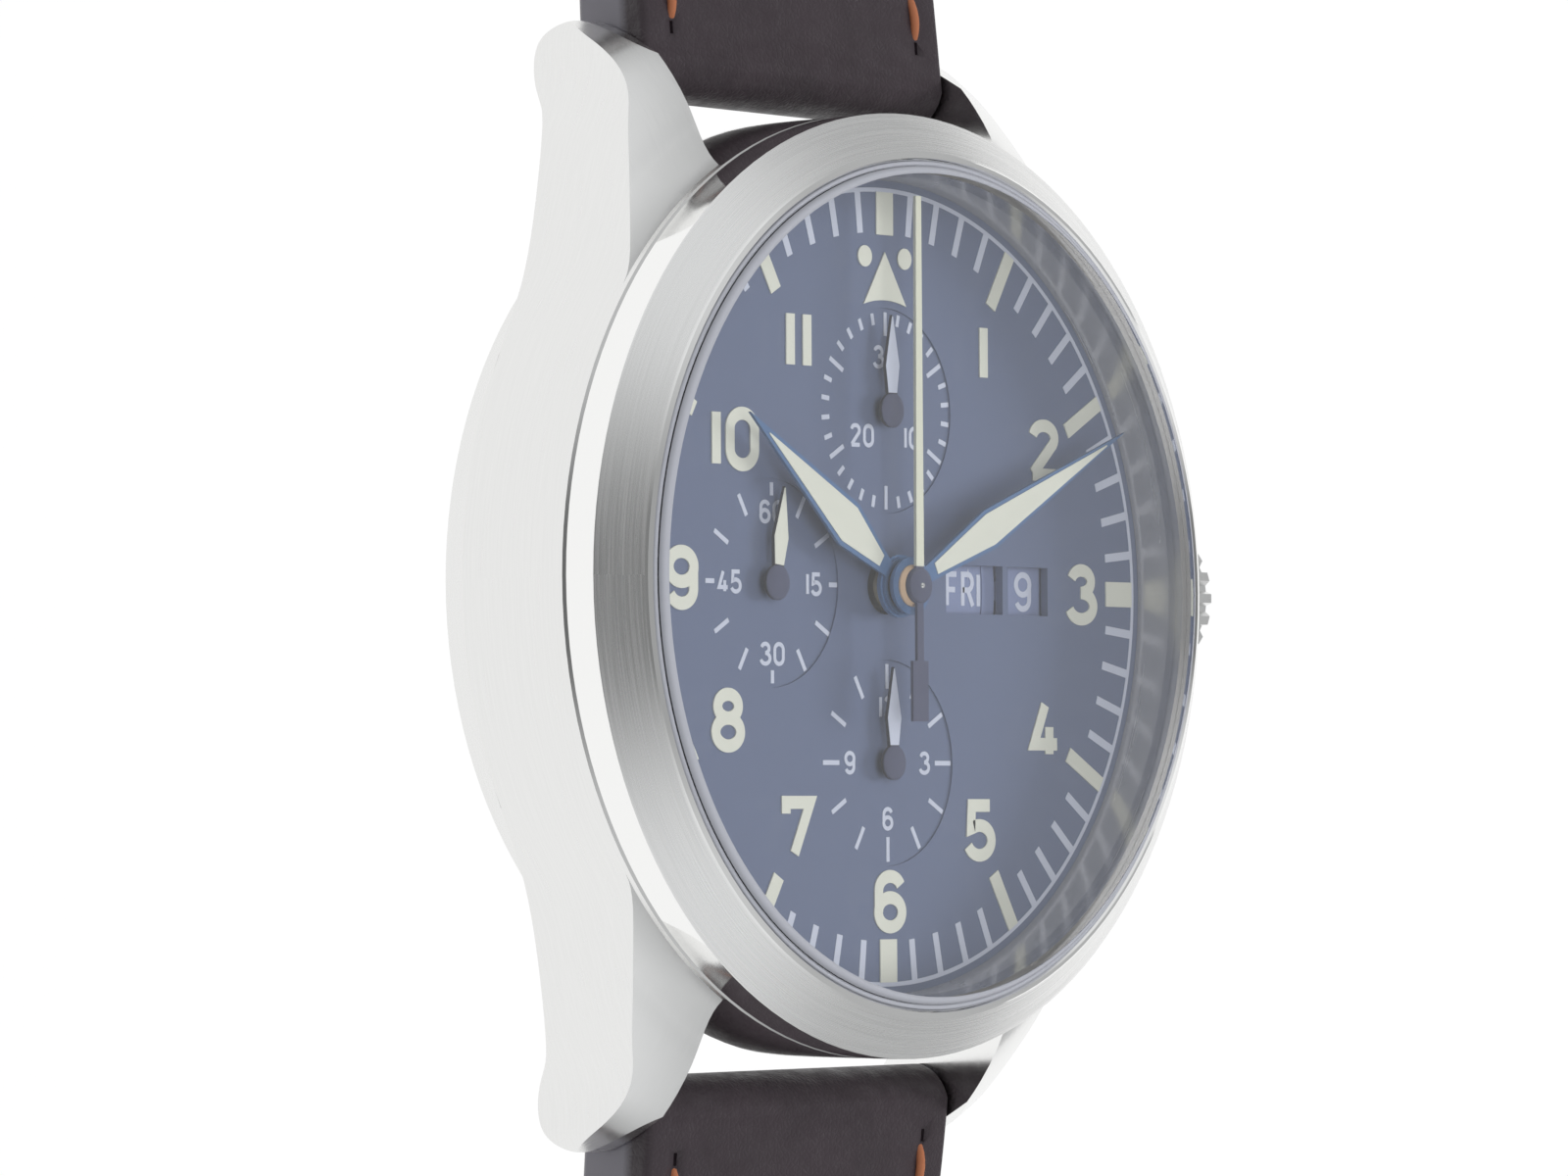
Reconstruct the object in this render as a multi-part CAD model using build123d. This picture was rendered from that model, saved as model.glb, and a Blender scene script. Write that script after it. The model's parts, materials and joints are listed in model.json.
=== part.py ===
"""Pilot's chronograph wristwatch on an open leather strap.

Millimetres. The watch lies face up: +Z leaves the dial, +Y points to 12 o'clock and +X to 3 o'clock.
The origin is the centre of the case back's resting face.
"""
import os
from math import acos, asin, atan2, cos, degrees, hypot, radians, sin

from build123d import *

# Fits and tools
seat_gap = 0.02         # between two parts that are pressed or seated together
run_gap = 0.05          # radial play of a part that turns or slides
free_gap = 0.10         # room round a part that only passes through
overrun = 1.0           # how far a cutting tool passes its work

# Levels of the movement, from the back glass to the dial
back_glass_thickness = 1.2
rotor_glass_gap = 0.45
rotor_thickness = 1.1
rotor_bridge_gap = 0.10
automatic_bridge_thickness = 0.4
chronograph_space_height = 1.15
bridge_thickness = 0.8
train_space_height = 1.7
plate_thickness = 1.7
calendar_space_height = 0.8
dial_thickness = 0.4
level_height = 0.25     # from one wheel level of the train to the next

rotor_low = back_glass_thickness + rotor_glass_gap
rotor_high = rotor_low + rotor_thickness
automatic_low = rotor_high + rotor_bridge_gap
automatic_high = automatic_low + automatic_bridge_thickness
bridge_low = automatic_high + chronograph_space_height
bridge_high = bridge_low + bridge_thickness
plate_low = bridge_high + train_space_height
plate_high = plate_low + plate_thickness
dial_low = plate_high + calendar_space_height
dial_high = dial_low + dial_thickness

# Rings from the movement outwards, each with the wall or step to the next
movement_radius = 15.0
holder_wall = 2.95
thread_step_width = 0.65
dial_seat_width = 1.55
ring_foot_wall = 0.55
ring_mouth_wall = 0.40
glass_gasket_thickness = 0.25
spigot_wall = 0.90
rim_wall = 1.40
end_wall_width = 0.10   # what the wall behind the strap's end adds to the bezel's foot
bezel_lip_width = 0.35
back_step_width = 1.70  # from the flank in to the case back
back_bevel_width = 2.10
back_glass_margin_width = 0.70

holder_radius = movement_radius + holder_wall
case_bore_radius = holder_radius + run_gap
thread_radius = case_bore_radius + thread_step_width
dial_radius = case_bore_radius + dial_seat_width
dial_recess_radius = dial_radius + run_gap
ring_outer_radius = dial_recess_radius - free_gap
ring_foot_radius = ring_outer_radius - ring_foot_wall
ring_mouth_radius = ring_outer_radius - ring_mouth_wall
bezel_bore_radius = ring_outer_radius + 2 * free_gap
glass_radius = bezel_bore_radius - glass_gasket_thickness
spigot_radius = bezel_bore_radius + spigot_wall
case_radius = spigot_radius + rim_wall
end_wall_radius = spigot_radius + end_wall_width
bezel_top_radius = bezel_bore_radius + bezel_lip_width
back_radius = case_radius - back_step_width
back_foot_radius = back_radius - back_bevel_width

# Case back
back_foot_height = 1.9
back_side_height = 2.6
back_ledge_width = 0.4
back_ledge_thickness = 0.25
back_collar_wall = 1.0
back_gasket_diameter = 0.4
holder_rise_height = 0.2

case_low = back_foot_height + back_side_height
holder_low = case_low + holder_rise_height
back_gasket_radius = (thread_radius + back_radius) / 2

# Case middle and lugs
rim_above_dial_height = 0.95
rim_lip_height = 4.75   # height of the wall that stays full width between the lugs
thread_height = 1.1
spigot_height = 0.75
lug_gap = 22.0
bar_offset = 2.3        # from the flank to the strap's bar
bar_height = 3.7
bar_radius = 0.75
bar_end_depth = 1.3     # how far a spring bar enters each lug
lug_root_angle = 37.0   # where the lugs leave the round flank
lug_waist_width = 3.4   # width of one lug, and how far inside the bar it is measured
lug_waist_inset = 3.3
lug_tip_width = 2.25
lug_corner_radius = 1.35
lug_corner_inset = 1.1
lug_nose_radius = 2.0   # round nose, inside and under the bar
lug_nose_inset = 0.2
lug_nose_drop_height = 0.73
lug_nose_top_angle = 20     # where the top and the belly join the round nose
lug_nose_under_angle = -100
lug_brow_reach = 0.9    # beyond the bar, where the nose turns into the top
lug_brow_drop_height = 5.4
lug_bend_reach = 0.1
lug_bend_drop_height = 4.0
lug_shoulder_inset = 4.8
lug_hollow_inset = 2.3  # places along the belly, inside the bar and under the flank
lug_hollow_drop_height = 2.5
lug_belly_inset = 5.8
lug_belly_drop_height = 1.35
lug_rise_inset = 10.3
lug_rise_drop_height = 0.7
lug_foot_inset = 14.8

# The lugs' turned top, as widths out from the flank and drops from the case's top
lug_top_widths = (0.0, 0.5, 2.3, 4.0, 5.1, 6.36, 7.2)
lug_top_drop_heights = (0.4, 0.98, 2.1, 3.33, 4.4, 6.2, 8.75)

case_top = dial_high + rim_above_dial_height
bar_distance = case_radius + bar_offset
lug_waist_half_width = lug_gap / 2 + lug_waist_width
lug_tip_half_width = lug_gap / 2 + lug_tip_width
lug_nose_distance = bar_distance - lug_nose_inset
lug_nose_height = bar_height - lug_nose_drop_height
lug_end_distance = lug_nose_distance + lug_nose_radius
lug_foot_distance = bar_distance - lug_foot_inset

# Bezel, dial ring and front glass
bezel_band_height = 1.75    # height of the upright polished band
bezel_height = 3.35
bezel_lip_drop_height = 0.10
edge_break_width = 0.12
ring_height = 2.56
glass_side_height = 1.7
glass_bevel_width = 0.35
glass_bevel_height = 0.3
glass_dome_height = 0.5
glass_gasket_height = 1.5

bezel_top = case_top + bezel_height
glass_low = dial_high + ring_height + 2 * seat_gap
glass_side_top = glass_low + glass_side_height

# Crown, its tube and the winding stem
crown_radius = 3.5
crown_gap = 0.35
crown_length = 3.25
crown_teeth = 20
crown_tooth_depth = 0.32
crown_tooth_root_share = 0.36
crown_tooth_tip_share = 0.2
crown_dome_share = 1.12     # radius of the dome that rounds both rims, to the crown's radius
crown_bore_depth = 2.15
crown_pull = 0.9
tube_radius = 1.7
tube_bore_radius = 0.8
tube_end_gap = 0.30
crown_gasket_length = 0.45
crown_gasket_thickness = 0.42
stem_radius = 0.6
stem_above_plate_height = 0.1
stem_pivot_length = 2.4
winding_pinion_inset = 3.0
winding_pinion_radius = 1.1
winding_pinion_length = 1.2
winding_pinion_teeth = 14
winding_tooth_depth = 0.22

stem_height = plate_low + stem_above_plate_height
crown_start_distance = case_radius + crown_gap
tube_end_distance = crown_start_distance + crown_bore_depth - tube_end_gap
winding_pinion_distance = movement_radius - winding_pinion_inset
stem_inner_distance = winding_pinion_distance - stem_pivot_length

# Pushers at 2 and 4 o'clock
pusher_angle = 31.5
pusher_radius = 2.4
pusher_gap = 1.15
pusher_length = 1.95
pusher_crown_thickness = 0.7
pusher_stroke = 0.9
pusher_stem_radius = 0.8
pusher_stem_gap = 1.2
pusher_tube_radius = 1.9
pusher_tube_gap = 0.3
pusher_spring_floor_thickness = 2.2
pusher_spring_radius = 1.35
pusher_spring_wire_width = 0.3
pusher_recess_gap = 0.3     # room round a pusher's head in the flank
pusher_recess_depth = 0.4

pusher_start_distance = case_radius + pusher_gap
pusher_end_distance = pusher_start_distance + pusher_length
pusher_stem_distance = movement_radius + pusher_stem_gap
pusher_tube_start_distance = case_bore_radius + pusher_tube_gap
pusher_tube_end_distance = pusher_end_distance - pusher_crown_thickness - pusher_stroke - free_gap
pusher_spring_distance = pusher_tube_start_distance + pusher_spring_floor_thickness
pusher_recess_distance = case_radius - pusher_recess_depth

# Movement
casing_screw_count = 3
casing_screw_angle = 60
casing_screw_head_radius = 0.8
casing_screw_shank_radius = 0.4
casing_screw_length = 1.6
casing_screw_head_height = 0.45
bridge_margin_width = 0.4
pillar_radius = 0.8
pillar_inset = 1.1
pillar_angles = (95, 172, 305, 342)
automatic_margin_width = 0.8
automatic_pillar_inset = 1.7
automatic_pillar_angles = (30, 150, 300)
jewel_radius = 0.62
jewel_thickness = 0.32
pivot_radius = 0.15
hand_arbor_radius = 0.16
screw_head_radius = 0.75
screw_head_height = 0.3
screw_shank_radius = 0.3
screw_length = 1.1
screw_slot_width = 0.18
screw_slot_depth = 0.14
rotor_margin_width = 0.4
rotor_rim_width = 3.0
rotor_web_thickness = 0.4
rotor_hub_radius = 2.6
rotor_post_radius = 1.1
rotor_sweep = 184.0
rotor_rest_angle = -90
rotor_sector_steps = 8

casing_screw_distance = (movement_radius + holder_radius) / 2
train_bridge_radius = movement_radius - bridge_margin_width
pillar_distance = train_bridge_radius - pillar_inset
automatic_bridge_radius = movement_radius - automatic_margin_width
automatic_pillar_distance = automatic_bridge_radius - automatic_pillar_inset
rotor_radius = movement_radius - rotor_margin_width
back_glass_radius = rotor_radius + back_glass_margin_width

# Going train: teeth, modules and the level of each wheel
wheel_thickness = 0.18
pinion_overlap_height = 0.08
tooth_root_share = 0.33
tooth_tip_share = 0.11
tooth_depth_share = 1.15
rim_share = 0.86
hub_share = 0.24
spoke_width = 0.36
spokes = 5
few_spokes = 4
barrel_level = 1        # levels of the wheels, counted from the train bridge
fourth_level = 1
third_level = 3
escape_level = 4
centre_level = 5
barrel_teeth = 72
centre_pinion_teeth = 12
barrel_module = 0.16
barrel_angle = 28.5
centre_teeth = 80
third_pinion_teeth = 10
centre_module = 0.12
third_teeth = 75
fourth_pinion_teeth = 10
third_module = 0.11
fourth_teeth = 84
escape_pinion_teeth = 7
fourth_module = 0.09
escape_angle = -81.6
barrel_height = 0.85
barrel_tooth_height = 0.35
barrel_wall = 0.12
barrel_rim_wall = 0.25
barrel_core_radius = 1.15
barrel_arbor_radius = 0.6
mainspring_strip_width = 0.12
mainspring_turns = 8
ratchet_radius = 4.3
ratchet_teeth = 48
ratchet_tooth_depth = 0.28
ratchet_thickness = 0.25
ratchet_gap = 0.10
ratchet_root_share = 0.45
ratchet_tip_share = 0.06
ratchet_lean_share = 0.3
spiral_steps = 20        # corners in each turn of a spiral spring

# Escapement and balance
escape_radius = 2.05
escape_teeth = 15
escape_tooth_depth = 0.5
escape_root_share = 0.3
escape_tip_share = 0.05
escape_lean_share = 0.3
escape_pallet_distance = 2.45
escape_balance_distance = 6.37
balance_angle = -55.6
pallet_clearance = 0.17
pallet_span = 30.0
fork_length = 3.15
fork_width = 0.34
stone_width = 0.3
balance_radius = 4.3
balance_rim_width = 0.5
balance_height = 0.4
balance_arms = 3
roller_radius = 0.7
roller_pin_distance = 0.52
roller_pin_radius = 0.08
cock_thickness = 0.6
cock_width = 3.0
cock_foot_distance = 6.15
cock_foot_angle = 172.5
cock_window_radius = 5.2
hairspring_strip_width = 0.06
hairspring_height = 0.2
hairspring_turns = 9
hairspring_inner_radius = 0.6
hairspring_outer_radius = 3.3

# Motion work, chronograph wheels and calendar
subdial_offset = 8.2
centre_arbor_radius = 0.25
centre_tube_radius = 0.55
cannon_radius = 0.80
hour_pipe_radius = 1.10
cannon_teeth = 12
minute_wheel_teeth = 36
motion_module = 0.15
minute_pinion_teeth = 10
hour_wheel_teeth = 40
minute_wheel_angle = -40.0
motion_gap = 0.05
motion_thickness = 0.15
runner_teeth = 80
runner_module = 0.09
counter_teeth = 60
counter_module = 0.095
hour_counter_teeth = 50
runner_lift_height = 0.35
disc_thickness = 0.15
disc_gap = 0.09
day_disc_radius = 7.95
date_ring_gap = 0.5
date_ring_width = 3.95
date_teeth = 31
date_tooth_depth = 0.35
date_tooth_root_share = 0.3
date_tooth_tip_share = 0.12

date_ring_inner_radius = day_disc_radius + date_ring_gap
date_ring_outer_radius = date_ring_inner_radius + date_ring_width

# Dial
dial_hole_radius = 1.3
subdial_radius = 4.8
subdial_depth = 0.08
window_height = 2.3
day_window_distance = 4.4
day_window_length = 4.2
window_gap = 0.4
date_window_length = 3.0

day_window_end_distance = day_window_distance + day_window_length
date_window_distance = day_window_end_distance + window_gap
date_window_end_distance = date_window_distance + date_window_length

# Hands: height above the dial, length, width at the belly and at the neck
hand_thickness = 0.16
hand_hub_radius = 1.35
hand_neck_width = 0.8
hand_belly_share = 0.36     # of a hand's length
hour_lift_height = 1.0
hour_length = 13.2
hour_width = 2.35
hour_angle = 305.6
minute_lift_height = 1.5
minute_length = 17.75
minute_width = 1.95
minute_angle = 64.2
second_lift_height = 2.0
second_length = 18.1
second_width = 0.55
second_tip_share = 0.7
second_hub_radius = 0.85
second_tail_start_distance = 3.5
second_tail_end_distance = 6.3
second_tail_neck_width = 0.45
second_tail_width = 1.1
small_lift_height = 0.4
small_length = 4.45
small_width = 1.0
small_hub_radius = 0.8
small_neck_width = 0.65
small_belly_share = 0.47
small_seconds_angle = 6.9
collet_wall = 0.35
collet_height = 0.22

# Strap and keepers
strap_side_gap = 0.15
strap_lug_half_thickness = 2.1      # over the lug bar, and round it towards the case
strap_lug_reach = 1.65
strap_thickness = 2.8
strap_slope = 5.0
strap_end_width = 20.0
strap_upper_length = 75.0
strap_lower_length = 120.0
strap_taper_length = 38.9
strap_slope_length = 24.9
tail_point_length = 12.0
tail_curve_share = 0.78     # place of the point's curve, over its width and its length
tail_curve_length_share = 0.38
tail_hole_radius = 1.0
tail_hole_count = 7
tail_hole_pitch = 6.5
tail_hole_first_distance = 24.0
keeper_wall = 1.0
keeper_gap = 0.2
keeper_width = 5.0
keeper_room_height = 3.2    # room for the strap's tail
keeper_corner_radius = 0.8
fixed_keeper_inset = 11.5
free_keeper_inset = 28.0

strap_half_width = lug_gap / 2 - strap_side_gap
strap_flat_low = keeper_wall + keeper_gap
strap_taper_distance = bar_distance + strap_taper_length
strap_flat_distance = bar_distance + strap_slope_length
tail_end_distance = bar_distance + strap_lower_length
buckle_distance = bar_distance + strap_upper_length
buckle_height = strap_flat_low + strap_thickness / 2
fixed_keeper_distance = buckle_distance - fixed_keeper_inset
free_keeper_distance = buckle_distance - free_keeper_inset

# Buckle
frame_side_gap = 0.4
frame_side_width = 2.2
frame_thickness = 2.4
frame_bar_width = 2.4
frame_length = 11.0
frame_corner_radius = 0.8
frame_bar_depth = 1.2
tongue_width = 2.4
tongue_side_gap = 0.4
tongue_thickness = 0.9
tongue_loop_radius = 1.35
tongue_past_length = 1.2
tongue_tip_share = 0.6
tongue_slot_depth = 3.2

frame_inner_half_width = strap_end_width / 2 + frame_side_gap
frame_outer_half_width = frame_inner_half_width + frame_side_width
tongue_slot_width = tongue_width + 2 * tongue_side_gap
frame_tilt = degrees(asin((buckle_height - frame_thickness / 2) / frame_length))


def polar(distance, angle, centre=(0, 0)):
    """The point at a distance and an angle in degrees from a centre."""
    turn = radians(angle)
    return centre[0] + distance * cos(turn), centre[1] + distance * sin(turn)


def mesh_distance(module, first_teeth, second_teeth):
    """Distance between the axes of two wheels in mesh."""
    return module * (first_teeth + second_teeth) / 2


def level(number):
    """Height of one wheel level between the train bridge and the main plate."""
    return bridge_high + number * level_height


def rod(radius, low, high, place=(0, 0)):
    return Pos(place[0], place[1], low) * extrude(Circle(radius), high - low)


def tube(outer, inner, low, high, place=(0, 0)):
    return Pos(place[0], place[1], low) * extrude(Circle(outer) - Circle(inner), high - low)


def slab(face, low, high, place=(0, 0)):
    return Pos(place[0], place[1], low) * extrude(face, high - low, dir=(0, 0, 1))


def across_slab(face, width):
    """Thickens a side view in Y and Z evenly to both sides of the watch's middle."""
    return Pos(-width / 2, 0, 0) * extrude(Plane.YZ * face, width, dir=(1, 0, 0))


def across(radius, start, end, height, angle=0):
    """A round bar that leaves the watch's axis at an angle, at one height."""
    lying = Rot(0, 90, 0) * extrude(Circle(radius), end - start)
    return Rot(0, 0, angle) * (Pos(start, 0, height) * lying)


def turned(*points):
    """A solid of revolution about Z from its half section in radius and height."""
    section = Plane.XZ * make_face(Polyline(*points, close=True))
    return revolve(section, Axis.Z)


def block(x_low, x_high, y_low, y_high, low, high):
    size = Box(x_high - x_low, y_high - y_low, high - low)
    return Pos((x_low + x_high) / 2, (y_low + y_high) / 2, (low + high) / 2) * size


def toothed(teeth, root, tip, turn=0, root_share=tooth_root_share, tip_share=tooth_tip_share, lean_share=0):
    """Outline of a toothed wheel, with one tooth centred on the angle turn."""
    points = []
    step = 360 / teeth
    corners = ((root, -root_share), (tip, lean_share - tip_share), (tip, lean_share + tip_share),
               (root, root_share))
    for tooth in range(teeth):
        for radius, share in corners:
            points.append(polar(radius, turn + step * (tooth + share)))
    return make_face(Polyline(*points, close=True))


def spur(teeth, module, turn=0):
    """Outline of a spur wheel or pinion from its teeth and module."""
    pitch_radius = teeth * module / 2
    return toothed(teeth, pitch_radius - module * tooth_depth_share, pitch_radius + module, turn)


def crossed(outline, radius, count):
    """Opens windows between the spokes of a wheel's outline."""
    rim = radius * rim_share
    hub = radius * hub_share
    windows = Circle(rim) - Circle(hub)
    for spoke in range(count):
        arm = Pos(radius / 2, 0) * Rectangle(radius, spoke_width)
        windows -= Rot(0, 0, 360 * spoke / count) * arm
    return outline - windows


def train_wheel(teeth, module, low, place, turn=0, count=spokes):
    radius = teeth * module / 2
    return slab(crossed(spur(teeth, module, turn), radius, count), low, low + wheel_thickness, place)


def pinion(teeth, module, low, high, place, turn):
    return slab(spur(teeth, module, turn), low - pinion_overlap_height, high + pinion_overlap_height, place)


def ribbon(inner, outer, turns, strip, low, high, place):
    """A flat spiral spring, one strip wide, wound from its inner to its outer radius."""
    steps = spiral_steps * turns
    inside = []
    outside = []
    for step in range(steps + 1):
        radius = inner + (outer - inner) * step / steps
        angle = 360 * turns * step / steps
        inside.append(polar(radius - strip / 2, angle))
        outside.append(polar(radius + strip / 2, angle))
    return slab(make_face(Polyline(*inside, *reversed(outside), close=True)), low, high, place)


# Places of the train, worked out from its teeth
barrel_place = polar(mesh_distance(barrel_module, barrel_teeth, centre_pinion_teeth), barrel_angle)
fourth_place = (-subdial_offset, 0)
third_from_centre = mesh_distance(centre_module, centre_teeth, third_pinion_teeth)
third_from_fourth = mesh_distance(third_module, third_teeth, fourth_pinion_teeth)
third_cosine = (third_from_centre**2 + subdial_offset**2 - third_from_fourth**2) \
    / (2 * third_from_centre * subdial_offset)
third_angle = 180 - degrees(acos(third_cosine))
third_place = polar(third_from_centre, third_angle)
third_to_fourth = degrees(atan2(fourth_place[1] - third_place[1], fourth_place[0] - third_place[0]))
fourth_to_escape = mesh_distance(fourth_module, fourth_teeth, escape_pinion_teeth)
escape_place = polar(fourth_to_escape, escape_angle, fourth_place)
pallet_place = polar(escape_pallet_distance, balance_angle, escape_place)
balance_place = polar(escape_balance_distance, balance_angle, escape_place)
cock_foot = polar(cock_foot_distance, cock_foot_angle, balance_place)
minute_counter_place = (0, subdial_offset)
hour_counter_place = (0, -subdial_offset)
cannon_to_minute_wheel = mesh_distance(motion_module, cannon_teeth, minute_wheel_teeth)
minute_wheel_place = polar(cannon_to_minute_wheel, minute_wheel_angle)

# Heights that several parts share
minute_wheel_low = plate_high + motion_gap
hour_wheel_low = minute_wheel_low + motion_thickness + motion_gap
disc_low = hour_wheel_low + motion_thickness + disc_gap
hour_hand_low = dial_high + hour_lift_height - hand_thickness / 2
minute_hand_low = dial_high + minute_lift_height - hand_thickness / 2
second_hand_low = dial_high + second_lift_height - hand_thickness / 2
small_hand_low = dial_high + small_lift_height - hand_thickness / 2
runner_low = automatic_high + runner_lift_height
pusher_places = (pusher_angle, -pusher_angle)


def lug_plan():
    """Plan of the case with its four lugs, as one closed outline."""
    root = polar(case_radius, lug_root_angle)
    leave = polar(1, lug_root_angle + 90)
    waist = (lug_waist_half_width, bar_distance - lug_waist_inset)
    tip = (lug_tip_half_width, bar_distance)
    corner = (lug_tip_half_width - lug_corner_radius, lug_end_distance - lug_corner_inset)
    far = corner[1] + lug_corner_radius
    quarter = Spline(root, waist, tip, tangents=[leave, (0, 1)])
    quarter += Line(tip, (lug_tip_half_width, corner[1]))
    quarter += ThreePointArc((lug_tip_half_width, corner[1]), polar(lug_corner_radius, 45, corner),
                             (corner[0], far))
    flank = ThreePointArc((root[0], -root[1]), (case_radius, 0), root)
    side = flank + quarter + mirror(quarter, Plane.XZ)
    other = mirror(side, Plane.YZ)
    ends = Line((corner[0], far), (-corner[0], far)) + Line((corner[0], -far), (-corner[0], -far))
    return make_face(side + other + ends)


def lug_side():
    """Side view of the lugs in Y and Z, with their round noses."""
    centre = (lug_nose_distance, lug_nose_height)
    bottom_join = polar(lug_nose_radius, lug_nose_under_angle, centre)
    top_join = polar(lug_nose_radius, lug_nose_top_angle, centre)
    nose = ThreePointArc(bottom_join, (lug_end_distance, lug_nose_height), top_join)
    shoulder = (bar_distance - lug_shoulder_inset, case_top)
    bend = (bar_distance + lug_bend_reach, case_top - lug_bend_drop_height)
    brow = (bar_distance + lug_brow_reach, case_top - lug_brow_drop_height)
    rise = polar(1, lug_nose_top_angle + 90)
    upper = Spline(top_join, brow, bend, shoulder, tangents=[rise, (-1, 0)])
    hollow = (bar_distance - lug_hollow_inset, case_low - lug_hollow_drop_height)
    belly = (bar_distance - lug_belly_inset, case_low - lug_belly_drop_height)
    back = (bar_distance - lug_rise_inset, case_low - lug_rise_drop_height)
    foot = (lug_foot_distance, case_low)
    leave = polar(1, lug_nose_under_angle - 90)
    lower = Spline(bottom_join, hollow, belly, back, foot, tangents=[leave, (-1, 0)])
    right = upper + nose + lower
    left = mirror(right, Plane.YZ)
    flats = Line(shoulder, (-shoulder[0], case_top)) + Line(foot, (-lug_foot_distance, case_low))
    return make_face(right + left + flats)


def lug_top():
    """The turned solid that gives the lugs their sloping tops."""
    points = [(case_radius + width, case_top - drop)
              for width, drop in zip(lug_top_widths, lug_top_drop_heights)]
    edge, start = points[-1], points[0]
    outline = Spline(*points) + Line(edge, (edge[0], -overrun)) + Line((edge[0], -overrun), (0, -overrun))
    outline += Line((0, -overrun), (0, start[1])) + Line((0, start[1]), start)
    return revolve(Plane.XZ * make_face(outline), Axis.Z)


def case_middle():
    plan = slab(lug_plan(), 0, case_top)
    lugs = plan & across_slab(lug_side(), 2 * case_radius) & lug_top()
    body = lugs - rod(end_wall_radius, -overrun, case_low)
    body += turned((0, case_low), (case_radius, case_low), (case_radius, case_top - edge_break_width),
                   (case_radius - edge_break_width, case_top), (0, case_top))
    slot_end = lug_end_distance + overrun
    slot = block(-lug_gap / 2, lug_gap / 2, -slot_end, slot_end, -overrun, case_top - rim_lip_height)
    slot_top = block(-lug_gap / 2, lug_gap / 2, -slot_end, slot_end, case_top - rim_lip_height,
                     case_top + overrun)
    body -= slot - rod(end_wall_radius, -overrun, case_top)
    body -= slot_top - rod(case_radius, 0, case_top + 2 * overrun)
    bore = turned((0, 0), (thread_radius, 0), (thread_radius, case_low + thread_height),
                  (case_bore_radius, case_low + thread_height), (case_bore_radius, dial_low),
                  (dial_recess_radius, dial_low),
                  (dial_recess_radius, case_top - spigot_height), (spigot_radius, case_top - spigot_height),
                  (spigot_radius, case_top + overrun), (0, case_top + overrun))
    body -= bore
    groove = back_gasket_radius + back_gasket_diameter / 2 + seat_gap
    body -= tube(groove, back_gasket_radius - back_gasket_diameter / 2 - seat_gap, 0,
                 case_low + back_gasket_diameter + seat_gap)
    body -= across(tube_radius + seat_gap, 0, 2 * case_radius, stem_height)
    for angle in pusher_places:
        body -= across(pusher_tube_radius + seat_gap, 0, 2 * case_radius, stem_height, angle)
        body -= across(pusher_radius + pusher_recess_gap, pusher_recess_distance, 2 * case_radius,
                       stem_height, angle)
    for end in (bar_distance, -bar_distance):
        reach = lug_gap / 2 + bar_end_depth + run_gap
        body -= Pos(-reach, end,
                    bar_height) * (Rot(0, 90, 0) * extrude(Circle(bar_radius + run_gap), 2 * reach))
    return body


def bezel():
    low = case_top - spigot_height + seat_gap
    outer = spigot_radius - seat_gap
    return turned((bezel_bore_radius, low), (outer, low), (outer, case_top),
                  (case_radius - edge_break_width, case_top), (case_radius, case_top + edge_break_width),
                  (case_radius, case_top + bezel_band_height),
                  (bezel_top_radius, bezel_top - bezel_lip_drop_height),
                  (bezel_bore_radius + edge_break_width, bezel_top),
                  (bezel_bore_radius, bezel_top - edge_break_width))


def dial_ring():
    low = dial_high + seat_gap
    high = low + ring_height
    return turned((ring_foot_radius, low), (ring_outer_radius, low), (ring_outer_radius, high),
                  (ring_mouth_radius, high))


def cap_sphere(radius, rise, apex):
    """Sphere whose top cap is that wide and that high, with its apex on the watch's axis."""
    sphere_radius = (radius**2 + rise**2) / (2 * rise)
    return Pos(0, 0, apex - sphere_radius) * Sphere(sphere_radius)


def crystal():
    """Domed front glass with a polished bevel, as thick at its middle as at its edge."""
    top_radius = glass_radius - glass_bevel_width
    shoulder = glass_side_top + glass_bevel_height
    apex = shoulder + glass_dome_height
    blank = turned((0, glass_low), (glass_radius, glass_low), (glass_radius, glass_side_top),
                   (top_radius, shoulder), (top_radius, apex + overrun), (0, apex + overrun))
    return (blank & cap_sphere(top_radius, glass_dome_height, apex)) - cap_sphere(top_radius,
            glass_dome_height,
                                                                         glass_low + glass_dome_height)


def crystal_gasket():
    return tube(bezel_bore_radius - seat_gap, glass_radius + seat_gap, glass_low,
                glass_low + glass_gasket_height)


def case_back_ring():
    collar = thread_radius - seat_gap
    collar_bore = collar - back_collar_wall
    ledge = back_glass_radius - back_ledge_width
    ledge_low = back_glass_thickness + seat_gap
    ledge_high = ledge_low + back_ledge_thickness
    collar_top = holder_low - seat_gap
    return turned((back_glass_radius + seat_gap, 0), (back_foot_radius, 0), (back_radius, back_foot_height),
                  (back_radius, case_low - seat_gap), (collar, case_low - seat_gap), (collar, collar_top),
                  (collar_bore, collar_top), (back_glass_radius, ledge_high), (ledge, ledge_high),
                  (ledge, ledge_low), (back_glass_radius + seat_gap, ledge_low))


def case_back_gasket():
    radius = back_gasket_diameter / 2
    return Pos(0, 0, case_low + radius) * Torus(back_gasket_radius, radius)


def crown_tube():
    body = across(tube_radius, holder_radius + run_gap, tube_end_distance, stem_height)
    return body - across(tube_bore_radius, 0, 2 * case_radius, stem_height)


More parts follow.
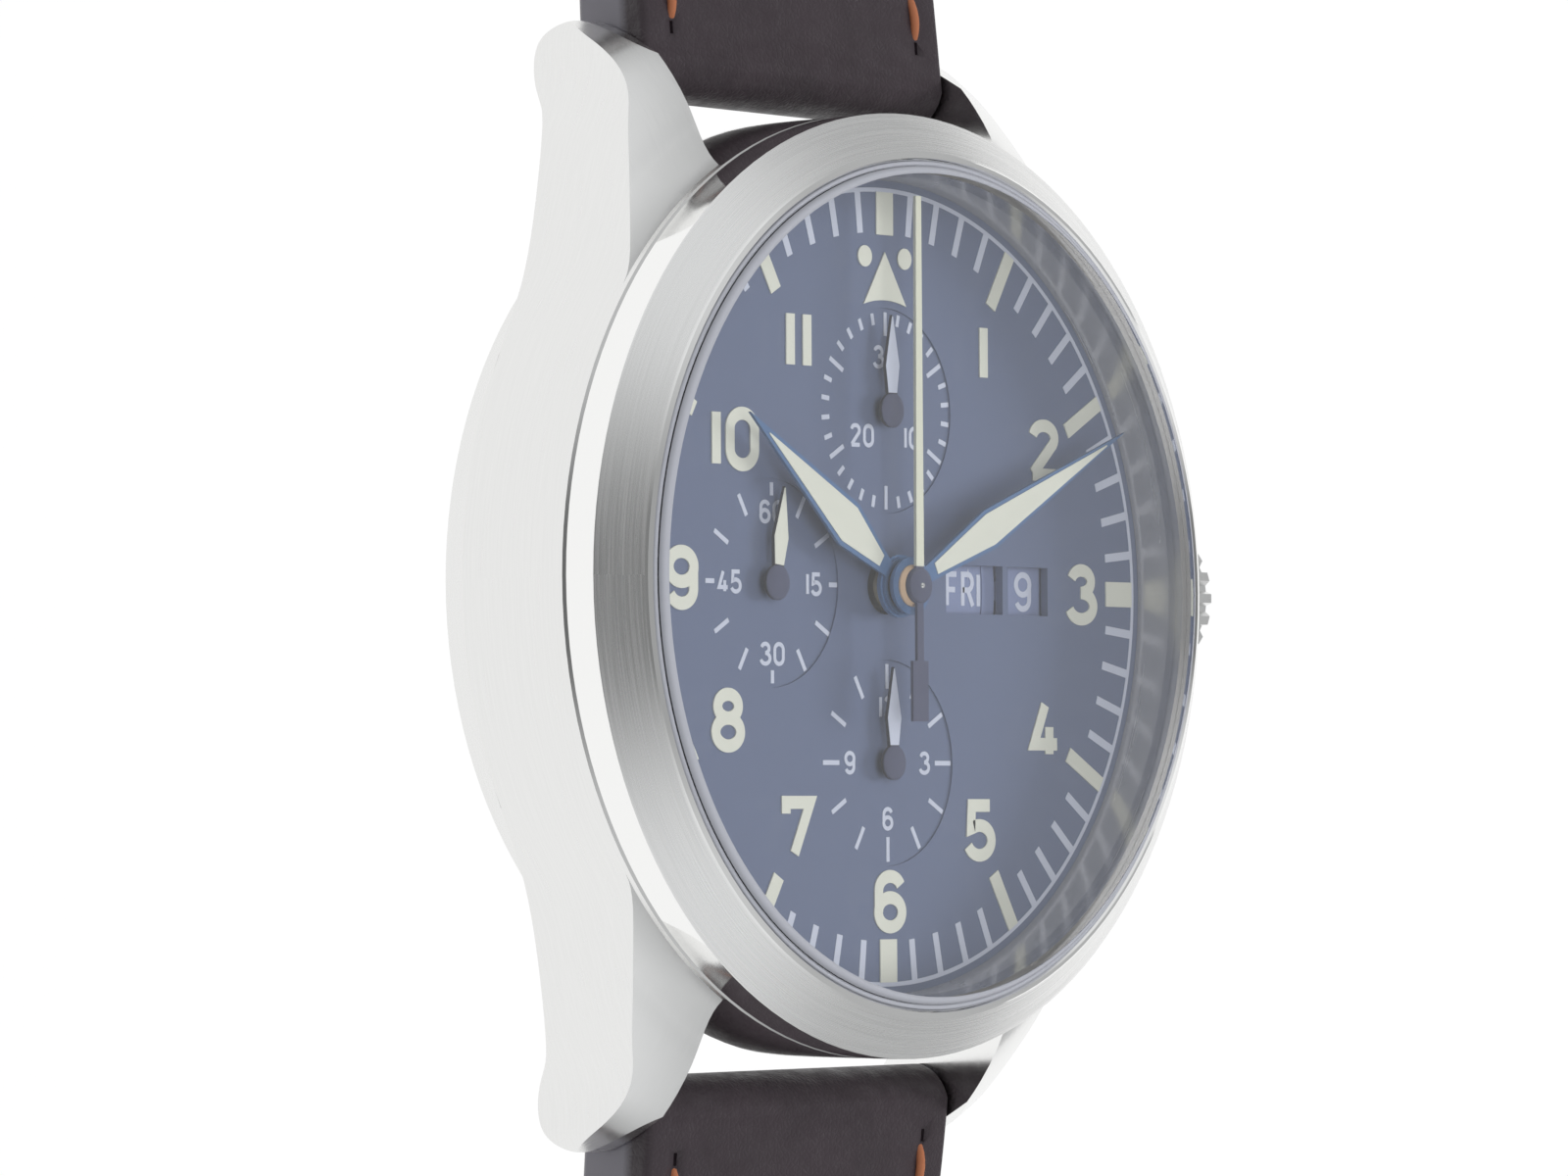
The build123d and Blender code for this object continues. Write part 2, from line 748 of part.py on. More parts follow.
def crown():
    """Fluted crown with a bore that runs over its tube."""
    end = crown_start_distance + crown_length
    root = crown_radius - crown_tooth_depth
    outline = toothed(crown_teeth, root, crown_radius, 0, crown_tooth_root_share, crown_tooth_tip_share)
    flutes = extrude(outline, crown_length)
    dome = Pos(0, 0, crown_length / 2) * Sphere(crown_radius * crown_dome_share)
    knob = Pos(crown_start_distance, 0, stem_height) * (Rot(0, 90, 0) * (flutes & dome))
    knob -= across(tube_radius + run_gap + seat_gap, 0, crown_start_distance + crown_bore_depth, stem_height)
    groove = crown_start_distance + crown_bore_depth / 2
    groove_radius = tube_radius + crown_gasket_thickness + 2 * seat_gap
    knob -= across(groove_radius, groove - crown_gasket_length / 2 - seat_gap,
                   groove + crown_gasket_length / 2 + seat_gap, stem_height)
    return knob - across(stem_radius + seat_gap, 0, end - crown_tooth_depth * 2, stem_height)


def crown_gasket():
    middle = crown_start_distance + crown_bore_depth / 2
    start = middle - crown_gasket_length / 2
    end = middle + crown_gasket_length / 2
    ring = across(tube_radius + crown_gasket_thickness, start, end, stem_height)
    return ring - across(tube_radius + seat_gap, start - overrun, end + overrun, stem_height)


def winding_stem():
    """Stem with the winding pinion on its inner end."""
    end = crown_start_distance + crown_length - crown_tooth_depth * 2 - seat_gap
    root = winding_pinion_radius - winding_tooth_depth
    leaves = extrude(toothed(winding_pinion_teeth, root, winding_pinion_radius), winding_pinion_length)
    wheel = Pos(winding_pinion_distance, 0, stem_height) * (Rot(0, 90, 0) * leaves)
    return across(stem_radius, stem_inner_distance, end, stem_height) + wheel


def pusher(angle):
    """Cap that runs over its tube, on a stem that reaches the movement."""
    cavity_end = pusher_end_distance - pusher_crown_thickness
    cap = across(pusher_radius, pusher_start_distance, pusher_end_distance, stem_height, angle)
    cap = chamfer(cap.edges().filter_by(GeomType.CIRCLE).sort_by_distance(
        (*polar(pusher_end_distance, angle), stem_height))[0], pusher_crown_thickness / 2)
    cap -= across(pusher_tube_radius + run_gap, 0, cavity_end, stem_height, angle)
    return cap + across(pusher_stem_radius, pusher_stem_distance,
                        pusher_end_distance - pusher_crown_thickness / 2, stem_height, angle)


def pusher_tubes():
    tubes = []
    for angle in pusher_places:
        body = across(pusher_tube_radius, pusher_tube_start_distance, pusher_tube_end_distance,
                      stem_height, angle)
        body -= across(pusher_stem_radius + run_gap, 0, 2 * case_radius, stem_height, angle)
        body -= across(pusher_spring_radius + run_gap, pusher_spring_distance, 2 * case_radius,
                       stem_height, angle)
        tubes.append(body)
    return Compound(tubes)


def pusher_spring(angle):
    """Room that the return spring's coils fill round the pusher's stem."""
    start = pusher_spring_distance + seat_gap
    end = pusher_end_distance - pusher_crown_thickness - seat_gap
    body = across(pusher_spring_radius, start, end, stem_height, angle)
    return body - across(pusher_spring_radius - pusher_spring_wire_width, 0, 2 * case_radius, stem_height,
                         angle)


def movement_ring():
    high = dial_low - seat_gap
    body = tube(holder_radius, movement_radius + run_gap, holder_low, high)
    body -= across(stem_radius + free_gap, 0, 2 * case_radius, stem_height)
    for angle in pusher_places:
        body -= across(pusher_stem_radius + free_gap, 0, 2 * case_radius, stem_height, angle)
    for number in range(casing_screw_count):
        place = polar(casing_screw_distance, 360 * number / casing_screw_count + casing_screw_angle)
        body -= rod(casing_screw_shank_radius + seat_gap, 0, holder_low + casing_screw_length + seat_gap,
                    place)
    return body


def screw(place, shank, shank_high, head, head_low, head_high):
    body = rod(head, head_low, head_high, place) + rod(shank, head_high, shank_high, place)
    slot = Pos(place[0], place[1], head_low) * Box(2 * head + overrun, screw_slot_width, 2 * screw_slot_depth)
    return body - slot


def casing_screws():
    screws = []
    head_high = holder_low - seat_gap
    for number in range(casing_screw_count):
        place = polar(casing_screw_distance, 360 * number / casing_screw_count + casing_screw_angle)
        screws.append(screw(place, casing_screw_shank_radius, holder_low + casing_screw_length,
                            casing_screw_head_radius,
                            head_high - casing_screw_head_height, head_high))
    return Compound(screws)


def main_plate():
    body = rod(movement_radius, plate_low, plate_high)
    body -= rod(centre_tube_radius + run_gap, 0, dial_high)
    deep = plate_low + plate_thickness / 2
    for place in (third_place, escape_place, pallet_place, balance_place, barrel_place):
        radius = barrel_arbor_radius if place == barrel_place else pivot_radius
        body -= rod(radius + run_gap, 0, deep, place)
    for place in (fourth_place, minute_counter_place):
        body -= rod(hand_arbor_radius + run_gap, 0, dial_high, place)
    body -= rod(hand_arbor_radius + run_gap, deep, dial_high, hour_counter_place)
    body -= rod(pivot_radius + run_gap, deep, dial_high, minute_wheel_place)
    body -= across(stem_radius + run_gap, stem_inner_distance - free_gap, 2 * movement_radius, stem_height)
    pocket_end = winding_pinion_distance + winding_pinion_length + crown_pull + free_gap
    body -= across(winding_pinion_radius + free_gap, winding_pinion_distance - free_gap, pocket_end,
                   stem_height)
    return body


jewel_places = (third_place, fourth_place, escape_place, minute_counter_place)


def train_bridge():
    """Bridge over the train, on pillars, open round the balance and its cock."""
    outline = Circle(train_bridge_radius) - Pos(*balance_place) * Circle(cock_window_radius)
    outline -= Pos(*cock_foot) * Circle(cock_width / 2 + free_gap)
    middle = ((cock_foot[0] + balance_place[0]) / 2, (cock_foot[1] + balance_place[1]) / 2)
    way = Pos(0, cock_window_radius / 2) * Rectangle(cock_foot_distance + cock_width,
                                                     cock_width + cock_window_radius)
    outline -= Pos(*middle) * (Rot(0, 0, cock_foot_angle) * way)
    outline -= Circle(centre_tube_radius + run_gap)
    outline -= Pos(*barrel_place) * Circle(barrel_arbor_radius + run_gap)
    for place in jewel_places:
        outline -= Pos(*place) * Circle(jewel_radius + seat_gap)
    body = slab(outline, bridge_low, bridge_high)
    for angle in pillar_angles:
        place = polar(pillar_distance, angle)
        body += rod(pillar_radius, bridge_high, plate_low - seat_gap, place)
        body -= rod(screw_shank_radius + seat_gap, 0, bridge_low + screw_length + seat_gap, place)
    return body


def jewels():
    """Pivot stones in the train bridge and in the balance cock."""
    stones = []
    for place in (*jewel_places, balance_place):
        pivot = hand_arbor_radius if place in (fourth_place, minute_counter_place) else pivot_radius
        stones.append(tube(jewel_radius, pivot + run_gap, bridge_low, bridge_low + jewel_thickness, place))
    return Compound(stones)


def bridge_screws():
    """Screws in the bridges' pillars and in the cock's foot."""
    screws = []
    places = [polar(pillar_distance, angle) for angle in pillar_angles]
    for place in places + [cock_foot]:
        screws.append(screw(place, screw_shank_radius, bridge_low + screw_length, screw_head_radius,
                            bridge_low - screw_head_height - seat_gap, bridge_low - seat_gap))
    for angle in automatic_pillar_angles:
        screws.append(screw(polar(automatic_pillar_distance, angle), screw_shank_radius,
                            automatic_high + screw_shank_radius,
                            screw_head_radius, automatic_low, automatic_low + screw_head_height))
    return Compound(screws)


def automatic_bridge():
    """Bridge that carries the rotor's post, open over the balance and the minute counter."""
    counter_radius = counter_teeth * counter_module / 2
    outline = Circle(automatic_bridge_radius) - Pos(*balance_place) * Circle(cock_window_radius)
    outline -= Pos(*minute_counter_place) * Circle(counter_radius)
    outline -= Pos(*polar(movement_radius, 90)) * Circle(counter_radius + 2 * jewel_radius)
    body = slab(outline, automatic_low, automatic_high)
    for angle in automatic_pillar_angles:
        place = polar(automatic_pillar_distance, angle)
        body += rod(pillar_radius, automatic_high, bridge_low - seat_gap, place)
        body -= rod(screw_head_radius + seat_gap, 0, automatic_low + screw_head_height + seat_gap, place)
        body -= rod(screw_shank_radius + seat_gap, 0, automatic_high + screw_shank_radius + seat_gap, place)
    return body + rod(rotor_post_radius, rotor_low + seat_gap, automatic_low)


def rotor():
    """Half-round winding weight with a heavy rim, on a bored hub."""
    sector = []
    for step in range(rotor_sector_steps + 1):
        sector.append(polar(2 * rotor_radius, rotor_sweep * (step / rotor_sector_steps - 1 / 2)))
    wedge = make_face(Polyline((0, 0), *sector, close=True))
    rim = (Circle(rotor_radius) - Circle(rotor_radius - rotor_rim_width)) & wedge
    web = Circle(rotor_radius - rotor_rim_width / 2) & wedge
    body = slab(rim, rotor_low, rotor_high) + slab(web, rotor_high - rotor_web_thickness, rotor_high)
    body += rod(rotor_hub_radius, rotor_low, rotor_high)
    body -= rod(rotor_post_radius + run_gap, 0, automatic_low)
    return Rot(0, 0, rotor_rest_angle) * body


def balance_cock():
    middle = ((cock_foot[0] + balance_place[0]) / 2, (cock_foot[1] + balance_place[1]) / 2)
    bar = SlotCenterToCenter(cock_foot_distance, cock_width)
    outline = Pos(*middle) * (Rot(0, 0, cock_foot_angle) * bar)
    outline -= Pos(*balance_place) * Circle(jewel_radius + seat_gap)
    body = slab(outline, bridge_low, bridge_low + cock_thickness)
    body += rod(pillar_radius, bridge_low + cock_thickness, plate_low - seat_gap, cock_foot)
    return body - rod(screw_shank_radius + seat_gap, 0, bridge_low + screw_length + seat_gap, cock_foot)


def barrel():
    """Toothed drum with a lid, closed round the mainspring."""
    pitch = barrel_teeth * barrel_module / 2
    outer = pitch - barrel_module * tooth_depth_share - barrel_rim_wall / 2
    low = level(barrel_level) - pinion_overlap_height
    high = low + barrel_height
    turn = barrel_angle + 180
    body = rod(outer, low, high, barrel_place)
    body += slab(spur(barrel_teeth, barrel_module, turn), low, low + barrel_tooth_height, barrel_place)
    body -= rod(outer - barrel_rim_wall, low + barrel_wall, high - barrel_wall, barrel_place)
    return body - rod(barrel_arbor_radius + run_gap, 0, dial_high, barrel_place)


def barrel_room():
    """Lowest and highest place inside the barrel that a part can fill."""
    low = level(barrel_level) - pinion_overlap_height
    return low + barrel_wall + seat_gap, low + barrel_height - barrel_wall - seat_gap


def mainspring():
    pitch = barrel_teeth * barrel_module / 2
    outer = pitch - barrel_module * tooth_depth_share - barrel_rim_wall / 2 - barrel_rim_wall
    low, high = barrel_room()
    return ribbon(barrel_core_radius + mainspring_strip_width, outer - mainspring_strip_width,
                  mainspring_turns, mainspring_strip_width,
                  low, high, barrel_place)


def barrel_arbor():
    low, high = barrel_room()
    body = rod(barrel_arbor_radius, bridge_low - ratchet_gap - ratchet_thickness,
               plate_low + plate_thickness / 4,
               barrel_place)
    return body + rod(barrel_core_radius, low, high, barrel_place)


def ratchet_wheel():
    high = bridge_low - ratchet_gap
    outline = toothed(ratchet_teeth, ratchet_radius - ratchet_tooth_depth, ratchet_radius, 0,
                      ratchet_root_share,
                      ratchet_tip_share, ratchet_lean_share)
    body = slab(outline, high - ratchet_thickness, high, barrel_place)
    return body - rod(barrel_arbor_radius + seat_gap, 0, dial_high, barrel_place)


def centre_wheel():
    """Wheel, pinion and hollow arbor at the watch's centre."""
    low = level(centre_level)
    pinion_low = level(barrel_level)
    body = train_wheel(centre_teeth, centre_module, low, (0, 0), third_angle)
    body += pinion(centre_pinion_teeth, barrel_module, pinion_low, pinion_low + barrel_tooth_height, (0, 0),
                   barrel_angle + 180 / centre_pinion_teeth)
    body += rod(centre_tube_radius, bridge_low + jewel_thickness, minute_hand_low)
    return body - rod(centre_arbor_radius + run_gap, 0, glass_low)


def third_wheel():
    pinion_low = level(centre_level)
    body = train_wheel(third_teeth, third_module, level(third_level), third_place, third_to_fourth)
    body += pinion(third_pinion_teeth, centre_module, pinion_low, pinion_low + wheel_thickness, third_place,
                   third_angle + 180 + 180 / third_pinion_teeth)
    return body + rod(pivot_radius, bridge_low + seat_gap, plate_low + plate_thickness / 4, third_place)


def fourth_wheel():
    pinion_low = level(third_level)
    body = train_wheel(fourth_teeth, fourth_module, level(fourth_level), fourth_place, escape_angle)
    body += pinion(fourth_pinion_teeth, third_module, pinion_low, pinion_low + wheel_thickness, fourth_place,
                   third_to_fourth + 180 + 180 / fourth_pinion_teeth)
    return body + rod(hand_arbor_radius, bridge_low + seat_gap, small_hand_low + hand_thickness, fourth_place)


def escape_wheel():
    """Fifteen pointed teeth that lean the way the wheel turns, on a small pinion."""
    outline = toothed(escape_teeth, escape_radius - escape_tooth_depth, escape_radius, balance_angle,
                      escape_root_share,
                      escape_tip_share, escape_lean_share)
    low = level(escape_level)
    body = slab(crossed(outline, escape_radius * rim_share, few_spokes), low, low + wheel_thickness,
                escape_place)
    body += pinion(escape_pinion_teeth, fourth_module, level(fourth_level),
                   level(fourth_level) + wheel_thickness,
                   escape_place, escape_angle + 180 + 180 / escape_pinion_teeth)
    return body + rod(pivot_radius, bridge_low + seat_gap, plate_low + plate_thickness / 4, escape_place)


def pallet_fork():
    """Lever with two pallet arms at the escape wheel and a fork at the balance."""
    stone_radius = escape_radius + pallet_clearance
    forward = escape_pallet_distance - stone_radius * cos(radians(pallet_span))
    aside = stone_radius * sin(radians(pallet_span))
    half = fork_width / 2
    upper = [(fork_length, half), (fork_length, 2 * half), (fork_length - 2 * fork_width, 2 * half),
             (fork_length - 3 * fork_width, half), (fork_width, half), (0, fork_width + half),
             (-forward / 2, aside + stone_width), (-forward, aside + stone_width), (-forward, aside),
             (-half, half)]
    lower = []
    for x, y in reversed(upper):
        lower.append((x, -y))
    notch = Pos(fork_length, 0) * Rectangle(fork_width, half)
    outline = Rot(0, 0, balance_angle) * (make_face(Polyline(*upper, *lower, close=True)) - notch)
    low = level(escape_level)
    body = slab(outline, low, low + wheel_thickness, pallet_place)
    return body + rod(pivot_radius, low - pinion_overlap_height, plate_low + plate_thickness / 4,
                      pallet_place)


def balance_wheel():
    """Rim on three arms, with its staff, roller and impulse pin."""
    arms = Circle(balance_radius) - Circle(balance_radius - balance_rim_width)
    web = Circle(2 * roller_radius)
    for arm in range(balance_arms):
        bar = Pos(balance_radius / 2, 0) * Rectangle(balance_radius - balance_rim_width, spoke_width)
        web += Rot(0, 0, 360 * arm / balance_arms + 90) * bar
    low = level(barrel_level)
    roller_low = level(third_level)
    body = slab(arms, low, low + balance_height, balance_place)
    body += slab(web, low + balance_height / 4, low + balance_height * 3 / 4, balance_place)
    body += rod(pivot_radius, bridge_low + seat_gap, plate_low + plate_thickness / 4, balance_place)
    body += rod(roller_radius, roller_low, roller_low + pinion_overlap_height, balance_place)
    pin = polar(roller_pin_distance, balance_angle + 180, balance_place)
    return body + rod(roller_pin_radius, roller_low, level(escape_level) + wheel_thickness, pin)


def hairspring():
    """Flat spiral with its collet, and the stud that hangs it from the cock."""
    low = bridge_low + cock_thickness + seat_gap
    high = low + hairspring_height
    coil = ribbon(hairspring_inner_radius, hairspring_outer_radius, hairspring_turns,
                  hairspring_strip_width, low, high, balance_place)
    collet = tube(hairspring_inner_radius, pivot_radius + run_gap, low, high, balance_place)
    stud_place = polar(hairspring_outer_radius, 0, balance_place)
    return coil + collet + rod(2 * hairspring_strip_width, low, high, stud_place)


def cannon_pinion():
    body = slab(spur(cannon_teeth, motion_module, minute_wheel_angle + 180 / cannon_teeth),
                minute_wheel_low, minute_wheel_low + motion_thickness)
    body += rod(cannon_radius, minute_wheel_low, minute_hand_low + hand_thickness)
    return body - rod(centre_tube_radius + seat_gap, 0, glass_low)


def minute_wheel():
    """Wheel in mesh with the cannon pinion, and the pinion that drives the hour wheel."""
    body = slab(spur(minute_wheel_teeth, motion_module, minute_wheel_angle + 180),
                minute_wheel_low, minute_wheel_low + motion_thickness, minute_wheel_place)
    pinion_module = 2 * hypot(*minute_wheel_place) / (minute_pinion_teeth + hour_wheel_teeth)
    turn = minute_wheel_angle + 180 + 180 / minute_pinion_teeth
    high = hour_wheel_low + motion_thickness
    body += slab(spur(minute_pinion_teeth, pinion_module, turn), minute_wheel_low, high, minute_wheel_place)
    return body + rod(pivot_radius, plate_high - plate_thickness / 4, high, minute_wheel_place)


def hour_wheel():
    module = 2 * hypot(*minute_wheel_place) / (minute_pinion_teeth + hour_wheel_teeth)
    body = slab(spur(hour_wheel_teeth, module, minute_wheel_angle), hour_wheel_low,
                hour_wheel_low + motion_thickness)
    body += rod(hour_pipe_radius, hour_wheel_low, hour_hand_low + hand_thickness)
    return body - rod(cannon_radius + run_gap, 0, glass_low)


def chronograph_runner():
    """Central chronograph wheel on the arbor that carries the long seconds hand."""
    radius = runner_teeth * runner_module / 2
    outline = crossed(spur(runner_teeth, runner_module), radius, few_spokes)
    body = slab(outline, runner_low, runner_low + wheel_thickness)
    return body + rod(centre_arbor_radius, automatic_high + run_gap,
                      second_hand_low + hand_thickness + run_gap)


def minute_counter_wheel():
    body = train_wheel(counter_teeth, counter_module, runner_low, minute_counter_place, 0, few_spokes)
    return body + rod(hand_arbor_radius, runner_low - run_gap, small_hand_low + hand_thickness,
                      minute_counter_place)


def hour_counter_wheel():
    body = train_wheel(hour_counter_teeth, counter_module, minute_wheel_low, hour_counter_place, 0,
                       few_spokes)
    return body + rod(hand_arbor_radius, plate_high - plate_thickness / 4, small_hand_low + hand_thickness,
                      hour_counter_place)


def day_disc():
    return tube(day_disc_radius, hour_pipe_radius + free_gap, disc_low, disc_low + disc_thickness)


def date_ring():
    inside = toothed(date_teeth, date_ring_inner_radius + date_tooth_depth, date_ring_inner_radius, 0,
                     date_tooth_root_share,
                     date_tooth_tip_share)
    return slab(Circle(date_ring_outer_radius) - inside, disc_low, disc_low + disc_thickness)


def dial():
    """Dial plate with three recessed counters and the day and date windows."""
    body = rod(dial_radius, dial_low, dial_high)
    body -= rod(dial_hole_radius, 0, glass_low)
    for place in (fourth_place, minute_counter_place, hour_counter_place):
        body -= rod(subdial_radius, dial_high - subdial_depth, glass_low, place)
        body -= rod(hand_arbor_radius + free_gap, 0, glass_low, place)
    half = window_height / 2
    body -= block(day_window_distance, day_window_end_distance, -half, half, dial_low - overrun, glass_low)
    body -= block(date_window_distance, date_window_end_distance, -half, half, dial_low - overrun, glass_low)
    return body


def pointer(length, width, neck, hub, hole, low, angle, place=(0, 0), belly_share=hand_belly_share):
    """A pointed hand with a round hub, widest at its belly, turned clockwise from 12 o'clock."""
    right = [(neck / 2, 0), (neck / 2, hub), (width / 2, length * belly_share), (0, length)]
    left = []
    for x, y in reversed(right[:-1]):
        left.append((-x, y))
    outline = make_face(Polyline(*right, *left, close=True)) + Circle(hub)
    body = slab(outline - Circle(hole), low, low + hand_thickness)
    collet = tube(hole + collet_wall, hole, low - collet_height, low)
    return Pos(place[0], place[1], 0) * (Rot(0, 0, -angle) * (body + collet))


def hour_hand():
    return pointer(hour_length, hour_width, hand_neck_width, hand_hub_radius, hour_pipe_radius + seat_gap,
                   hour_hand_low, hour_angle)


def minute_hand():
    return pointer(minute_length, minute_width, hand_neck_width, hand_hub_radius, cannon_radius + seat_gap,
                   minute_hand_low, minute_angle)


def small_hand(angle, place):
    return pointer(small_length, small_width, small_neck_width, small_hub_radius,
                   hand_arbor_radius + seat_gap,
                   small_hand_low, angle, place, small_belly_share)


def chronograph_seconds_hand():
    """Long thin needle with a broad counterweight behind its hub."""
    half = second_width / 2
    tip = half * second_tip_share
    needle = [(half, 0), (tip, second_length), (-tip, second_length), (-half, 0)]
    outline = make_face(Polyline(*needle, close=True)) + Circle(second_hub_radius)
    neck = Pos(0,
               -(second_hub_radius + second_tail_start_distance) / 2) * Rectangle(second_tail_neck_width,
                       second_tail_start_distance)
    weight_length = second_tail_end_distance - second_tail_start_distance
    weight = Pos(0,
                 -(second_tail_start_distance
                   + second_tail_end_distance) / 2) * Rectangle(second_tail_width, weight_length)
    outline = outline + neck + weight - Circle(centre_arbor_radius + seat_gap)
    body = slab(outline, second_hand_low, second_hand_low + hand_thickness)
    hole = centre_arbor_radius + seat_gap
    return body + tube(hole + collet_wall, hole, second_hand_low - collet_height, second_hand_low)


def strap_half(flat_low, far, end_shape):
    """Side view of one strap half in Y and Z, from its loop at the lug bar to its far end."""
    slope = Vector(cos(radians(strap_slope)), -sin(radians(strap_slope)))
    under = (bar_distance, bar_height - strap_lug_half_thickness)
    over = (bar_distance, bar_height + strap_lug_half_thickness)
    under_flat = (strap_flat_distance, flat_low)
    over_flat = (strap_flat_distance, flat_low + strap_thickness)
    edges = ThreePointArc(over, (bar_distance - strap_lug_reach, bar_height), under)
    edges += Spline(under, under_flat, tangents=[slope, (1, 0)])
    edges += Spline(over, over_flat, tangents=[slope, (1, 0)])
    edges += Line(under_flat, (far, flat_low)) + Line(over_flat, (far, flat_low + strap_thickness))
    if end_shape == "round":
        half = strap_thickness / 2
        edges += ThreePointArc((far, flat_low), (far + half, flat_low + half),
                               (far, flat_low + strap_thickness))
    else:
        edges += Line((far, flat_low), (far, flat_low + strap_thickness))
    body = across_slab(make_face(edges), lug_gap)
    return body - cross_bar(bar_radius + run_gap, lug_gap, bar_distance, bar_height)


def cross_bar(radius, length, y, z):
    """A round bar across the watch, along X."""
    return Pos(-length / 2, y, z) * (Rot(0, 90, 0) * extrude(Circle(radius), length))


def upper_strap():
    """The 12 o'clock half, with a slot for the buckle's tongue."""
    body = strap_half(strap_flat_low, buckle_distance, "round")
    end = strap_end_width / 2
    past = buckle_distance + strap_thickness
    plan = [(strap_half_width, bar_distance - 2 * strap_lug_half_thickness),
            (strap_half_width, bar_distance), (end, strap_taper_distance),
            (end, past), (-end, past), (-end, strap_taper_distance), (-strap_half_width, bar_distance),
            (-strap_half_width, bar_distance - 2 * strap_lug_half_thickness)]
    body &= slab(make_face(Polyline(*plan, close=True)), -overrun, case_top)
    body -= cross_bar(bar_radius + seat_gap, lug_gap, buckle_distance, buckle_height)
    return body - block(-tongue_slot_width / 2, tongue_slot_width / 2,
                        buckle_distance - tongue_slot_depth, past + overrun,
                        -overrun, case_top)


def lower_strap():
    """The 6 o'clock half, with its holes and pointed end."""
    body = strap_half(0, tail_end_distance, "square")
    end = strap_end_width / 2
    start = bar_distance - 2 * strap_lug_half_thickness
    shoulder = tail_end_distance - tail_point_length
    right = Polyline((0, start), (strap_half_width, start), (strap_half_width, bar_distance),
                     (end, strap_taper_distance),
                     (end, shoulder))
    curve = (end * tail_curve_share, tail_end_distance - tail_point_length * tail_curve_length_share)
    tip = ThreePointArc((end, shoulder), curve, (0, tail_end_distance))
    outline = make_face(right + tip + mirror(right + tip, Plane.YZ))
    body &= slab(outline, -overrun, case_top)
    for number in range(tail_hole_count):
        place = (0, tail_end_distance - tail_hole_first_distance - number * tail_hole_pitch)
        body -= rod(tail_hole_radius, -overrun, case_top, place)
    return Rot(0, 0, 180) * body


def keeper(y):
    """Leather loop round the strap, tall enough for the tail as well."""
    inner_half = strap_end_width / 2 + keeper_gap
    outer_half = inner_half + keeper_wall
    inner_high = strap_flat_low + strap_thickness + keeper_room_height
    low = y - keeper_width / 2
    high = y + keeper_width / 2
    body = block(-outer_half, outer_half, low, high, 0, inner_high + keeper_wall)
    body = fillet(body.edges().filter_by(Axis.Y), keeper_corner_radius)
    return body - block(-inner_half, inner_half, low - overrun, high + overrun, keeper_wall, inner_high)


def lug_spring_bars():
    length = lug_gap + 2 * bar_end_depth
    return Compound([cross_bar(bar_radius, length, bar_distance, bar_height),
                     cross_bar(bar_radius, length, -bar_distance, bar_height)])


def buckle_spring_bar():
    return cross_bar(bar_radius, 2 * (frame_inner_half_width + frame_bar_depth), buckle_distance,
                     buckle_height)


def on_buckle(shape):
    """Places a shape drawn with the buckle bar at its origin, tilted to rest on the table."""
    return Pos(0, buckle_distance, buckle_height) * (Rot(-frame_tilt, 0, 0) * shape)


def buckle_frame():
    """Open steel frame that turns about the buckle bar."""
    half = frame_thickness / 2
    far = frame_length + frame_bar_width / 2
    near = -half
    outer = Pos(0, (far + near) / 2) * RectangleRounded(2 * frame_outer_half_width, far - near,
                                                        frame_corner_radius)
    window_far = frame_length - frame_bar_width / 2
    window = Pos(0, (window_far + near - overrun) / 2) * Rectangle(2 * frame_inner_half_width,
            window_far - near + overrun)
    body = slab(outer - window, -half, half)
    reach = frame_inner_half_width + frame_bar_depth + run_gap
    return on_buckle(body - cross_bar(bar_radius + run_gap, 2 * reach, 0, 0))


def buckle_tongue():
    """Pin of the buckle, looped round the bar and resting on the far side of the frame."""
    rest = frame_thickness / 2 + run_gap
    tip = frame_length + tongue_past_length
    profile = [(0, 0), (tongue_loop_radius, 0), (frame_length - frame_bar_width / 2, rest), (tip, rest),
               (tip, rest + tongue_thickness * tongue_tip_share),
               (frame_length - frame_bar_width / 2, rest + tongue_thickness),
               (0, tongue_loop_radius)]
    bar = across_slab(make_face(Polyline(*profile, close=True)), tongue_width)
    body = bar + cross_bar(tongue_loop_radius, tongue_width, 0, 0)
    return on_buckle(body - cross_bar(bar_radius + run_gap, lug_gap, 0, 0))


